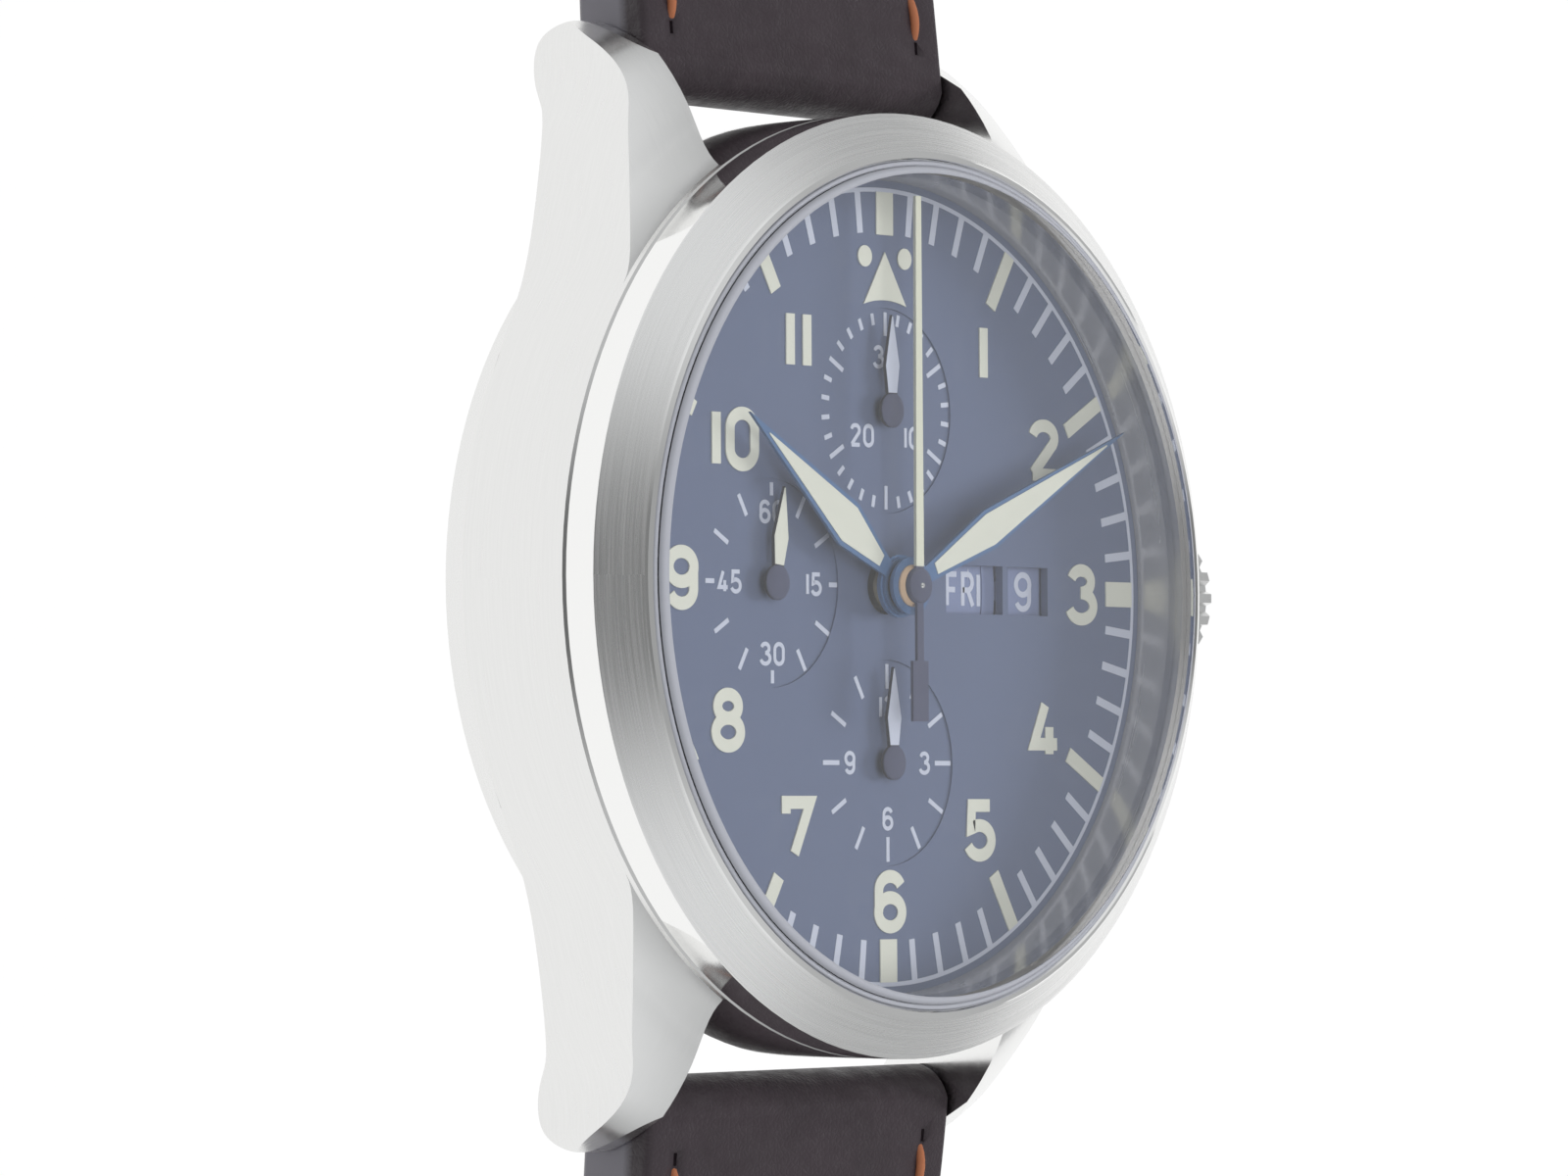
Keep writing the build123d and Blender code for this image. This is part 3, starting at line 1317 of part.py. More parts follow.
parts = {
    "case_middle": case_middle(),
    "bezel": bezel(),
    "crystal": crystal(),
    "crystal_gasket": crystal_gasket(),
    "dial_ring": dial_ring(),
    "case_back_ring": case_back_ring(),
    "case_back_glass": rod(back_glass_radius, 0, back_glass_thickness),
    "case_back_gasket": case_back_gasket(),
    "crown_tube": crown_tube(),
    "crown": crown(),
    "crown_gasket": crown_gasket(),
    "winding_stem": winding_stem(),
    "start_pusher": pusher(pusher_angle),
    "reset_pusher": pusher(-pusher_angle),
    "pusher_tubes": pusher_tubes(),
    "start_pusher_spring": pusher_spring(pusher_angle),
    "reset_pusher_spring": pusher_spring(-pusher_angle),
    "movement_ring": movement_ring(),
    "casing_screws": casing_screws(),
    "dial": dial(),
    "hour_hand": hour_hand(),
    "minute_hand": minute_hand(),
    "chronograph_seconds_hand": chronograph_seconds_hand(),
    "small_seconds_hand": small_hand(small_seconds_angle, fourth_place),
    "minute_counter_hand": small_hand(0, minute_counter_place),
    "hour_counter_hand": small_hand(0, hour_counter_place),
    "day_disc": day_disc(),
    "date_ring": date_ring(),
    "main_plate": main_plate(),
    "train_bridge": train_bridge(),
    "automatic_bridge": automatic_bridge(),
    "balance_cock": balance_cock(),
    "jewels": jewels(),
    "bridge_screws": bridge_screws(),
    "barrel": barrel(),
    "mainspring": mainspring(),
    "barrel_arbor": barrel_arbor(),
    "ratchet_wheel": ratchet_wheel(),
    "centre_wheel": centre_wheel(),
    "third_wheel": third_wheel(),
    "fourth_wheel": fourth_wheel(),
    "escape_wheel": escape_wheel(),
    "pallet_fork": pallet_fork(),
    "balance_wheel": balance_wheel(),
    "hairspring": hairspring(),
    "rotor": rotor(),
    "chronograph_runner": chronograph_runner(),
    "minute_counter_wheel": minute_counter_wheel(),
    "hour_counter_wheel": hour_counter_wheel(),
    "cannon_pinion": cannon_pinion(),
    "minute_wheel": minute_wheel(),
    "hour_wheel": hour_wheel(),
    "upper_strap": upper_strap(),
    "lower_strap": lower_strap(),
    "lug_spring_bars": lug_spring_bars(),
    "buckle_frame": buckle_frame(),
    "buckle_tongue": buckle_tongue(),
    "buckle_spring_bar": buckle_spring_bar(),
    "fixed_keeper": keeper(fixed_keeper_distance),
    "free_keeper": keeper(free_keeper_distance),
}

os.makedirs("parts", exist_ok=True)
for name, solid in parts.items():
    export_step(solid, f"parts/{name}.step")
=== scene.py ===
"""Looks of the pilot's chronograph: its finishes, dial print, luminous hands and leather strap.

Lengths are in millimetres, apart from the near clip, the floor's size and the lamps in metres.
"""
import json
from math import cos, pi, radians, sin, sqrt, tan

import bmesh
import bpy
from mathutils import Matrix, Vector


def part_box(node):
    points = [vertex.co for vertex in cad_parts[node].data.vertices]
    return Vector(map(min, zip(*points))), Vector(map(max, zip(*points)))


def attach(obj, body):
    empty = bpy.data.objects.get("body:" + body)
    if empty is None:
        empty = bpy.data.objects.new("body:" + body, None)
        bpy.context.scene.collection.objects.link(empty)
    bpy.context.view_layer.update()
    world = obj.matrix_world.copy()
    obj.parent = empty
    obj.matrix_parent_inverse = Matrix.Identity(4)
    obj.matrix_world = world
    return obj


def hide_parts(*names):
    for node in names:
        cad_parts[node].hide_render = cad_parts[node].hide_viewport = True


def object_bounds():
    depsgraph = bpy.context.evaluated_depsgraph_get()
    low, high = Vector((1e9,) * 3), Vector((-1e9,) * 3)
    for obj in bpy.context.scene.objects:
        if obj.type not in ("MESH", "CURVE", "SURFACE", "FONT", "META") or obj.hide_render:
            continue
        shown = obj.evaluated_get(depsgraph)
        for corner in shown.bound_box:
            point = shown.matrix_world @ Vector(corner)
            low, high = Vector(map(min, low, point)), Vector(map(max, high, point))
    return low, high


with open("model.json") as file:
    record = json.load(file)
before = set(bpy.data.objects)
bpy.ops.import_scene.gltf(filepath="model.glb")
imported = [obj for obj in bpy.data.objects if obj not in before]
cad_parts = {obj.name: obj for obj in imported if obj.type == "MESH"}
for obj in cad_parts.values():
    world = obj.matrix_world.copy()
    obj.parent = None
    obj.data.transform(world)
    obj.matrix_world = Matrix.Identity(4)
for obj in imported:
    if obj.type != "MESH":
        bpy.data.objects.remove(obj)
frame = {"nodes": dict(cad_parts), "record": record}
cad_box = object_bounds()
nodes = frame["nodes"]
MM = 0.001

# Camera, fitted to the photograph's round track, counters and windows
IMAGE_WIDTH, IMAGE_HEIGHT = 1600, 1200
SENSOR_WIDTH = 36.0
FOCAL_PIXELS = 7375.0
NEAR_CLIP = 0.01
CAMERA_DISTANCE = 337.5
CAMERA_SIDE_ANGLE = 50.06
CAMERA_LOW_ANGLE = 1.95
CAMERA_ROLL = 0.32
AIM_HEIGHT = 11.0
AIM_PIXEL = (904.6, 598.6)


def make_camera():
    """A long lens at the photograph's angle, turned to put the dial's centre on its pixel."""
    side, low = radians(CAMERA_SIDE_ANGLE), -radians(CAMERA_LOW_ANGLE)
    roll = radians(CAMERA_ROLL)
    back = Vector((-sin(side) * cos(low), sin(low), cos(side) * cos(low)))
    right = Vector((cos(side), 0, sin(side)))
    up = back.cross(right)
    right, up = right * cos(roll) - up * sin(roll), right * sin(roll) + up * cos(roll)
    turn = Matrix((right, up, back)).transposed()
    aim = Vector((AIM_PIXEL[0] - IMAGE_WIDTH / 2, IMAGE_HEIGHT / 2 - AIM_PIXEL[1], -FOCAL_PIXELS))
    swing = Vector((0, 0, -1)).rotation_difference(aim.normalized()).to_matrix()
    turn = turn @ swing.transposed()
    place = (Vector((0, 0, AIM_HEIGHT)) + back * CAMERA_DISTANCE) * MM
    data = bpy.data.cameras.new("camera")
    data.sensor_width = SENSOR_WIDTH
    data.lens = FOCAL_PIXELS * SENSOR_WIDTH / IMAGE_WIDTH
    data.clip_start = NEAR_CLIP
    camera = bpy.data.objects.new("camera", data)
    bpy.context.scene.collection.objects.link(camera)
    camera.matrix_world = Matrix.Translation(place) @ turn.to_4x4()
    bpy.context.scene.camera = camera


make_camera()


# Shader tools
NOISE_LOW, NOISE_HIGH = 0.3, 0.7


def shader_of(material):
    return material.node_tree.nodes["Principled BSDF"]


def new_look(name, colour, roughness, metallic=0.0, **sockets):
    material = bpy.data.materials.new(name)
    material.use_nodes = True
    shader = shader_of(material)
    shader.inputs["Base Color"].default_value = (*colour, 1)
    shader.inputs["Roughness"].default_value = roughness
    shader.inputs["Metallic"].default_value = metallic
    for socket, value in sockets.items():
        shader.inputs[socket.replace("_", " ")].default_value = value
    return material


def add(material, kind, sockets=None, **settings):
    """A shader node with its settings, and a value or a link for each named or numbered socket."""
    node = material.node_tree.nodes.new(kind)
    for key, value in settings.items():
        setattr(node, key, value)
    for key, value in (sockets or {}).items():
        if isinstance(value, bpy.types.NodeSocket):
            material.node_tree.links.new(value, node.inputs[key])
        else:
            node.inputs[key].default_value = value
    return node


def drive(material, socket, source):
    material.node_tree.links.new(source, shader_of(material).inputs[socket])


def surface(material, fac, other):
    """The material's own shader, giving way to another one by a mask."""
    mix = add(material, "ShaderNodeMixShader",
              {0: fac, 1: shader_of(material).outputs[0], 2: other.outputs[0]})
    output = material.node_tree.nodes["Material Output"]
    material.node_tree.links.new(mix.outputs[0], output.inputs["Surface"])


def place_mm(material):
    """The shaded point in the object's own millimetres."""
    point = add(material, "ShaderNodeTexCoord").outputs["Object"]
    return add(material, "ShaderNodeVectorMath", {0: point, "Scale": 1 / MM},
               operation="SCALE").outputs[0]


def maths(material, operation, first, second=0.0):
    return add(material, "ShaderNodeMath", {0: first, 1: second}, operation=operation).outputs[0]


def size_of(material, value):
    return maths(material, "ABSOLUTE", value)


def axes(material, vector):
    return add(material, "ShaderNodeSeparateXYZ", {0: vector}).outputs


def facing(material):
    """The surface's direction along each of the object's axes."""
    return axes(material, add(material, "ShaderNodeTexCoord").outputs["Normal"])


def ramp(material, value, low, high, to_low, to_high):
    """A value carried from one span to another."""
    return add(material, "ShaderNodeMapRange",
               {"Value": value, "From Min": low, "From Max": high, "To Min": to_low,
                "To Max": to_high}).outputs["Result"]


def above(material, value, edge, soft):
    """A mask that is one where the value passes an edge."""
    return ramp(material, value, edge - soft, edge + soft, 0.0, 1.0)


def below(material, value, edge, soft):
    return ramp(material, value, edge - soft, edge + soft, 1.0, 0.0)


def blend(material, fac, first, second):
    """A value between two, by a mask from nought to one."""
    return add(material, "ShaderNodeMix", {0: fac, 2: first, 3: second},
               data_type="FLOAT").outputs[0]


def paint(material, fac, first, second):
    """A colour between two, each given as a colour or as a node's output."""
    first, second = (value if isinstance(value, bpy.types.NodeSocket) else (*value, 1)
                     for value in (first, second))
    return add(material, "ShaderNodeMix", {"Factor": fac, 6: first, 7: second},
               data_type="RGBA").outputs[2]


def tint(material, fac, dark, light):
    """Base colour that runs from dark to light with the value."""
    drive(material, "Base Color", paint(material, fac, dark, light))


def noise(material, vector, scale, detail=3.0):
    return add(material, "ShaderNodeTexNoise",
               {"Vector": vector, "Scale": scale, "Detail": detail}).outputs["Fac"]


def from_noise(material, lines, low, high):
    """A noise's usual span carried to a span of values."""
    return ramp(material, lines, NOISE_LOW, NOISE_HIGH, low, high)


def stretched(material, point, along):
    """The point with each axis scaled, which draws a noise out into brush lines."""
    return add(material, "ShaderNodeVectorMath", {0: point, 1: along},
               operation="MULTIPLY").outputs[0]


def polar_point(material, point, radial=1.0, around=1.0, upward=1.0):
    """The point as radius, angle about Z and height, each scaled."""
    x, y, z = axes(material, point)
    flat = add(material, "ShaderNodeCombineXYZ", {"X": x, "Y": y}).outputs[0]
    radius = add(material, "ShaderNodeVectorMath", {0: flat}, operation="LENGTH").outputs["Value"]
    angle = maths(material, "ARCTAN2", y, x)
    return add(material, "ShaderNodeCombineXYZ",
               {"X": maths(material, "MULTIPLY", radius, radial),
                "Y": maths(material, "MULTIPLY", angle, around),
                "Z": maths(material, "MULTIPLY", z, upward)}).outputs[0]


def bump(material, height, strength, distance):
    node = add(material, "ShaderNodeBump",
               {"Height": height, "Strength": strength, "Distance": distance * MM})
    drive(material, "Normal", node.outputs["Normal"])


def srgb(red, green, blue):
    """Linear colour of an 8-bit display colour."""
    return tuple((v / 255 / 12.92) if v <= 10 else ((v / 255 + 0.055) / 1.055) ** 2.4
                 for v in (red, green, blue))


def dimmed(colour, share):
    return tuple(share * v for v in colour)


# Finishes
STEEL = (0.90, 0.90, 0.89)
PLATE = (0.74, 0.72, 0.68)
RING_GREY = (0.64, 0.63, 0.62)
HUB_BLUE = srgb(76, 80, 102)
NEEDLE_PALE = srgb(216, 218, 200)
EDGE_PAINT = srgb(104, 102, 110)
LINING = srgb(112, 84, 64)
POLISH = 0.06
MASK_SOFT = 0.05

# Scale of each set of brush lines along its three axes
FLANK_LINES = (1.0, 5.0, 9.0)
TOP_LINES = (11.0, 0.5, 0.5)
BEZEL_LINES = (11.0, 2.6, 11.0)
TURNED_LINES = (10.0, 0.8, 4.0)
SATIN_LINES = (1.5, 1.5, 0.15)
PLATE_LINES = (12.0, 2.0, 2.0)

TOP_TILT, TOP_SOFT = 0.3, 0.1
LUG_WALL_SIDE, LUG_WALL_START = 11.03, 14
CREST_SHINE = 0.5
# Painted shade on the lug tops beside the bezel's seam: its share of the steel's colour, and the
# radii over which it fades out
SEAM_PAINTED_SHADE, SEAM_INNER, SEAM_OUTER = 0.66, 22.1, 23.6
BEZEL_BAND_TOP = 12.5
BEZEL_LIP_RADIUS = 20.13
NEEDLE_START, NEEDLE_SOFT = 0.9, 0.03
EDGE_FACING, LINING_FACING, FACING_SOFT = 0.75, -0.7, 0.1
PAINT_NEAR, PAINT_FAR = (24.3, 4.5), (49.2, 2.4)
PAINT_SOFT = 0.3


def brushed(name, colour, roughness, spread, point_maker):
    material = new_look(name, colour, roughness, 1.0, Anisotropic=0.4)
    lines = noise(material, point_maker(material, place_mm(material)), 1.0)
    worn = from_noise(material, lines, roughness - spread, roughness + spread)
    drive(material, "Roughness", worn)
    tint(material, lines, dimmed(colour, 0.9), colour)
    bump(material, lines, 0.25, 0.01)
    return material


def satin_steel(name):
    return brushed(name, STEEL, 0.34, 0.07, lambda m, p: stretched(m, p, SATIN_LINES))


def turned_metal(name, colour, roughness):
    """Metal with fine lines turned round the watch's axis."""
    return brushed(name, colour, roughness, 0.06, lambda m, p: polar_point(m, p, *TURNED_LINES))


def satin_ring():
    """The ring round the dial: half mirror, half pale haze, with fine turned lines."""
    material = turned_metal("satin_ring", RING_GREY, 0.22)
    shader_of(material).inputs["Metallic"].default_value = 0.6
    return material


def finish_brush(material, lines, roughness, spread, shine, depth):
    """Brush lines in colour, gloss and height, giving way to a polish where the mask is one."""
    worn = from_noise(material, lines, roughness - spread, roughness + spread)
    drive(material, "Roughness", blend(material, shine, worn, POLISH))
    tint(material, blend(material, shine, lines, 1.0), dimmed(STEEL, 0.88), STEEL)
    bump(material, blend(material, shine, lines, 0.5), 0.3, depth)


def case_steel():
    """Brushed flanks and lug tops with polished lug walls, and a painted shade on the tops near
    the bezel's seam.
    """
    material = new_look("case_steel", STEEL, 0.3, 1.0, Anisotropic=0.3)
    point = place_mm(material)
    x, y = axes(material, point)[:2]
    upward = above(material, size_of(material, facing(material)[2]), TOP_TILT, TOP_SOFT)
    flank = noise(material, polar_point(material, point, *FLANK_LINES), 1.0)
    top = noise(material, stretched(material, point, TOP_LINES), 1.0)
    inside = below(material, size_of(material, x), LUG_WALL_SIDE, MASK_SOFT)
    outward = above(material, size_of(material, y), LUG_WALL_START, MASK_SOFT)
    wall = maths(material, "MULTIPLY", inside, outward)
    crest = maths(material, "MULTIPLY", upward, CREST_SHINE)
    shine = maths(material, "MAXIMUM", wall, crest)
    finish_brush(material, blend(material, upward, flank, top), 0.33, 0.06, shine, 0.012)
    # Painted shade: the upward faces darken towards the bezel's seam
    radius = axes(material, polar_point(material, point))[0]
    near = ramp(material, radius, SEAM_INNER, SEAM_OUTER, 1.0, 0.0)
    seam_painted_shade = maths(material, "MULTIPLY", near, upward)
    plain = shader_of(material).inputs["Base Color"].links[0].from_socket
    tint(material, seam_painted_shade, plain, dimmed(STEEL, SEAM_PAINTED_SHADE))
    return material


def bezel_steel():
    """Brushed round the cone, polished on the upright band and the inner lip."""
    material = new_look("bezel_steel", STEEL, 0.26, 1.0, Anisotropic=0.4)
    point = place_mm(material)
    lines = noise(material, polar_point(material, point, *BEZEL_LINES), 1.0)
    radius, _, height = axes(material, polar_point(material, point))
    shine = maths(material, "MAXIMUM", below(material, height, BEZEL_BAND_TOP, MASK_SOFT),
                  below(material, radius, BEZEL_LIP_RADIUS, MASK_SOFT))
    finish_brush(material, lines, 0.27, 0.07, shine, 0.02)
    return material


def striped_plate():
    """Bridges with broad rippled stripes."""
    material = new_look("striped_plate", PLATE, 0.22, 1.0, Anisotropic=0.3)
    point = place_mm(material)
    x, y = axes(material, point)[:2]
    swing = maths(material, "MULTIPLY", maths(material, "ADD", x, y), 3.4)
    stripe = size_of(material, maths(material, "SINE", swing))
    lines = noise(material, stretched(material, point, PLATE_LINES), 1.0)
    drive(material, "Roughness", ramp(material, stripe, 0.0, 1.0, 0.16, 0.34))
    tint(material, lines, dimmed(PLATE, 0.9), PLATE)
    grain = maths(material, "MULTIPLY", lines, 0.2)
    bump(material, maths(material, "ADD", stripe, grain), 0.4, 0.03)
    return material


def pearled_plate():
    """Main plate and holder with overlapping round grinding marks."""
    material = new_look("pearled_plate", PLATE, 0.24, 1.0)
    voronoi = {"Vector": place_mm(material), "Scale": 1.1, "Randomness": 0.15}
    cells = add(material, "ShaderNodeTexVoronoi", voronoi).outputs["Distance"]
    rings = maths(material, "SINE", maths(material, "MULTIPLY", cells, 55.0))
    drive(material, "Roughness", ramp(material, cells, 0.0, 0.6, 0.16, 0.36))
    tint(material, cells, PLATE, dimmed(PLATE, 0.85))
    bump(material, rings, 0.25, 0.01)
    return material


def two_tone_hand():
    """The long hand: pale along its needle, dark round its hub and behind it."""
    material = new_look("two_tone_hand", (0.7, 0.7, 0.6), 0.45)
    point = place_mm(material)
    needle = above(material, axes(material, point)[1], NEEDLE_START, NEEDLE_SOFT)
    tint(material, needle, HUB_BLUE, NEEDLE_PALE)
    drive(material, "Roughness", from_noise(material, noise(material, point, 20.0), 0.4, 0.55))
    return material


def polished(name, colour):
    material = new_look(name, colour, POLISH, 1.0)
    marks = noise(material, place_mm(material), 0.8)
    drive(material, "Roughness", from_noise(material, marks, 0.03, 0.10))
    return material


def painted(name, colour, roughness, scale, depth):
    material = new_look(name, colour, roughness)
    grain = noise(material, place_mm(material), scale, 5.0)
    tint(material, grain, dimmed(colour, 0.93), dimmed(colour, 1.05))
    bump(material, grain, 0.3, depth)
    return material


def clear(name, index):
    """Glass that bends what is seen through it, and lets the lamps' light straight through."""
    material = new_look(name, (1, 1, 1), 0.0, IOR=index, Transmission_Weight=1.0)
    through = add(material, "ShaderNodeBsdfTransparent")
    path = add(material, "ShaderNodeLightPath")
    surface(material, path.outputs["Is Shadow Ray"], through)
    return material


def leather(name, colour):
    """Smooth dark leather with painted edges and a paler lining."""
    material = new_look(name, colour, 0.5, Coat_Weight=0.1, Coat_Roughness=0.4)
    point = place_mm(material)
    pores = add(material, "ShaderNodeTexVoronoi", {"Vector": point, "Scale": 3.2},
                feature="DISTANCE_TO_EDGE").outputs[0]
    _, y, z = axes(material, point)
    aside, _, upward = facing(material)
    paint_top = ramp(material, size_of(material, y), PAINT_NEAR[0], PAINT_FAR[0], PAINT_NEAR[1],
                     PAINT_FAR[1])
    under = maths(material, "SUBTRACT", paint_top, z)
    edge = maths(material, "MULTIPLY",
                 above(material, size_of(material, aside), EDGE_FACING, FACING_SOFT),
                 above(material, under, 0.0, PAINT_SOFT))
    lining = below(material, upward, LINING_FACING, FACING_SOFT)
    clouds = noise(material, point, 0.35)
    shade = paint(material, clouds, dimmed(colour, 0.75), dimmed(colour, 1.25))
    shade = paint(material, edge, shade, EDGE_PAINT)
    tint(material, lining, shade, LINING)
    worn = from_noise(material, noise(material, point, 1.2), 0.42, 0.62)
    gloss = blend(material, lining, blend(material, edge, worn, 0.35), 0.85)
    drive(material, "Roughness", gloss)
    height = maths(material, "ADD", ramp(material, pores, 0.0, 0.25, 0.0, 1.0),
                   noise(material, point, 6.0))
    bump(material, blend(material, edge, height, 0.8), 0.35, 0.05)
    return material


looks = {
    "case_steel": case_steel(),
    "back_steel": turned_metal("back_steel", STEEL, 0.3),
    "polished_steel": polished("polished_steel", STEEL),
    "plain_steel": polished("plain_steel", (0.7, 0.7, 0.7)),
    "sapphire": clear("sapphire", 1.77),
    "seal_rubber": painted("seal_rubber", (0.03, 0.03, 0.03), 0.6, 8.0, 0.01),
    "dial_blue": painted("dial_blue", srgb(96, 107, 134), 0.45, 30.0, 0.004),
    # The discs' blue is lighter than the dial's: painted light that makes up for the shade on the
    # discs under the windows
    "disc_blue": painted("disc_blue", srgb(126, 137, 170), 0.5, 30.0, 0.004),
    "hand_blue": painted("hand_blue", srgb(80, 110, 150), 0.3, 20.0, 0.002),
    "hand_pale": two_tone_hand(),
    "hand_black": painted("hand_black", (0.03, 0.03, 0.035), 0.4, 20.0, 0.002),
    "plate_steel": striped_plate(),
    "gear_brass": polished("gear_brass", (0.78, 0.62, 0.32)),
    "gear_steel": polished("gear_steel", (0.66, 0.66, 0.66)),
    "blued_steel": polished("blued_steel", (0.05, 0.09, 0.35)),
    "rotor_steel": turned_metal("rotor_steel", PLATE, 0.26),
    "ruby": new_look("ruby", (0.6, 0.02, 0.08), 0.08),
    "strap_leather": leather("strap_leather", srgb(45, 37, 42)),
}
slot_of = {part["node"]: part["material_slot"] for part in frame["record"]["subparts"]}
special_looks = {
    "bezel": bezel_steel(),
    "crystal_gasket": painted("clear_nylon", (0.75, 0.76, 0.75), 0.35, 6.0, 0.01),
    "dial_ring": satin_ring(),
    "main_plate": pearled_plate(),
    "movement_ring": pearled_plate(),
    "crown": satin_steel("crown_steel"),
    "start_pusher": polished("pusher_steel", STEEL),
    "reset_pusher": polished("pusher_steel_b", STEEL),
    "buckle_frame": satin_steel("buckle_steel"),
    "buckle_tongue": polished("tongue_steel", STEEL),
}
for name, node in nodes.items():
    for place in node.material_slots:
        place.material = special_looks.get(name) or looks[slot_of[name]]
LUME_LOOK = painted("cream_lume", srgb(216, 218, 206), 0.6, 25.0, 0.01)
INK_LOOK = painted("white_ink", srgb(196, 202, 218), 0.55, 25.0, 0.004)
THREAD_LOOK = painted("tan_thread", srgb(150, 92, 62), 0.7, 12.0, 0.05)
CAP_LOOK = painted("cap_blue", HUB_BLUE, 0.45, 20.0, 0.002)
# Gold collar: the gold tone is its own, the pale matt brightness is a painted highlight for its
# warm reflection
GILT_PAINTED_HIGHLIGHT_LOOK = painted("gilt_collar_painted_highlight", srgb(228, 194, 158), 0.25, 12.0, 0.002)
# Pale grey for the front glass's edge and its joint with the bezel: painted highlights
GLASS_EDGE_PAINTED_HIGHLIGHT = painted("glass_edge_painted_highlight", srgb(158, 160, 168), 0.3, 20.0, 0.002)


# Mesh tools
def to_mesh(name, build):
    shape = bmesh.new()
    build(shape)
    bmesh.ops.recalc_face_normals(shape, faces=shape.faces)
    mesh = bpy.data.meshes.new(name)
    shape.to_mesh(mesh)
    shape.free()
    return mesh


def make_piece(name, build, material, body, smooth=True):
    piece = bpy.data.objects.new(name, to_mesh(name, build))
    bpy.context.scene.collection.objects.link(piece)
    piece.data.materials.append(material)
    for face in piece.data.polygons:
        face.use_smooth = smooth
    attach(piece, body)
    return piece


def close_tube(shape, rings, closed_ends=True):
    """Faces of a tube whose rings of points follow one another."""
    loops = [[shape.verts.new(Vector(point) * MM) for point in ring] for ring in rings]
    count = len(loops[0])
    for first, second in zip(loops, loops[1:]):
        for i in range(count):
            j = (i + 1) % count
            shape.faces.new((first[i], first[j], second[j], second[i]))
    if closed_ends:
        shape.faces.new(loops[0][::-1])
        shape.faces.new(loops[-1])


def prism(shape, outline, low, high):
    """A flat prism over one outline."""
    close_tube(shape, [[(x, y, z) for x, y in outline] for z in (low, high)])


def weld(shape, distance=1e-8):
    bmesh.ops.remove_doubles(shape, verts=shape.verts, dist=distance)


def circle_ring(x, y, z, radius, steps=24):
    return [(x + radius * cos(2 * pi * i / steps), y + radius * sin(2 * pi * i / steps), z)
            for i in range(steps)]


def round_band(inner, outer, low, high, steps=96):
    """Builder of a closed flat ring about the watch's axis, with levels at its two edges."""
    def build(shape):
        rings = []
        for i in range(steps + 1):
            angle = 2 * pi * i / steps
            rings.append([(r * cos(angle), r * sin(angle), z) for r, z in
                          ((inner, low[0]), (outer, low[1]), (outer, high[1]), (inner, high[0]))])
        close_tube(shape, rings, False)
        weld(shape)

    return build


def round_corners(half, low, high, radius, steps):
    """Points (x, z, angle) round each of the four corners of an upright box."""
    corners = []
    for x, z, start in ((half - radius, high - radius, 0), (-half + radius, high - radius, 90),
                        (-half + radius, low + radius, 180), (half - radius, low + radius, 270)):
        angles = [radians(start + 90 / steps * step) for step in range(steps + 1)]
        corners.append([(x + radius * cos(a), z + radius * sin(a), a) for a in angles])
    return corners


def cut_with(piece, cutters):
    """The piece with closed shapes taken out of it."""
    tool = bpy.data.objects.new("cutter", to_mesh("cutter", cutters))
    bpy.context.scene.collection.objects.link(tool)
    step = piece.modifiers.new("cut", "BOOLEAN")
    step.operation = "DIFFERENCE"
    step.solver = "EXACT"
    step.object = tool
    bpy.context.view_layer.update()
    depsgraph = bpy.context.evaluated_depsgraph_get()
    result = bpy.data.meshes.new_from_object(piece.evaluated_get(depsgraph))
    piece.modifiers.clear()
    piece.data = result
    bpy.data.objects.remove(tool)


# Strap
BAR_DISTANCE, BAR_HEIGHT = 24.3, 3.7
STRAP_HALF_WIDTH, STRAP_END_HALF_WIDTH = 10.85, 10.0
STRAP_LUG_HALF = 2.1
STRAP_LUG_REACH = 1.65
STRAP_LUG_ROUND = (STRAP_LUG_HALF**2 + STRAP_LUG_REACH**2) / (2 * STRAP_LUG_REACH)
STRAP_THICKNESS = 2.8
STRAP_SLOPE = 5.0
STRAP_SLOPE_LENGTH = 24.9
STRAP_TAPER_LENGTH = 38.9
STRAP_UPPER_LENGTH = 75.0
STRAP_LOWER_LENGTH = 120.0
STRAP_CROWN, CROWN_START = 0.12, 2
STRAP_EDGE_RADIUS = 0.4
STATION_PITCH, SECTION_STEPS = 0.8, 28
END_ANGLES = (15, 30, 45, 60, 75, 85)
UPPER_FLOOR, LOWER_FLOOR = 1.2, 0.0
TAIL_POINT_LENGTH, TAIL_POWER, TAIL_BLUNT = 12.0, 2.2, 0.0009
TAIL_HOLES, TAIL_HOLE_RADIUS = 7, 1.0
TAIL_HOLE_PITCH, TAIL_FIRST_HOLE = 6.5, 24.0
TONGUE_SLOT_WIDTH, TONGUE_SLOT_DEPTH = 3.2, 3.2
CUT_LOW, HOLE_CUT_HIGH, SLOT_CUT_HIGH, SLIT_CUT_HIGH = -1.0, 4.5, 6.0, 1.0
SEAM_INSET, SEAM_DEPTH, SEAM_CHANNEL_HALF = 1.95, 0.1, 0.55
UPPER_SEAM_END = 4.5
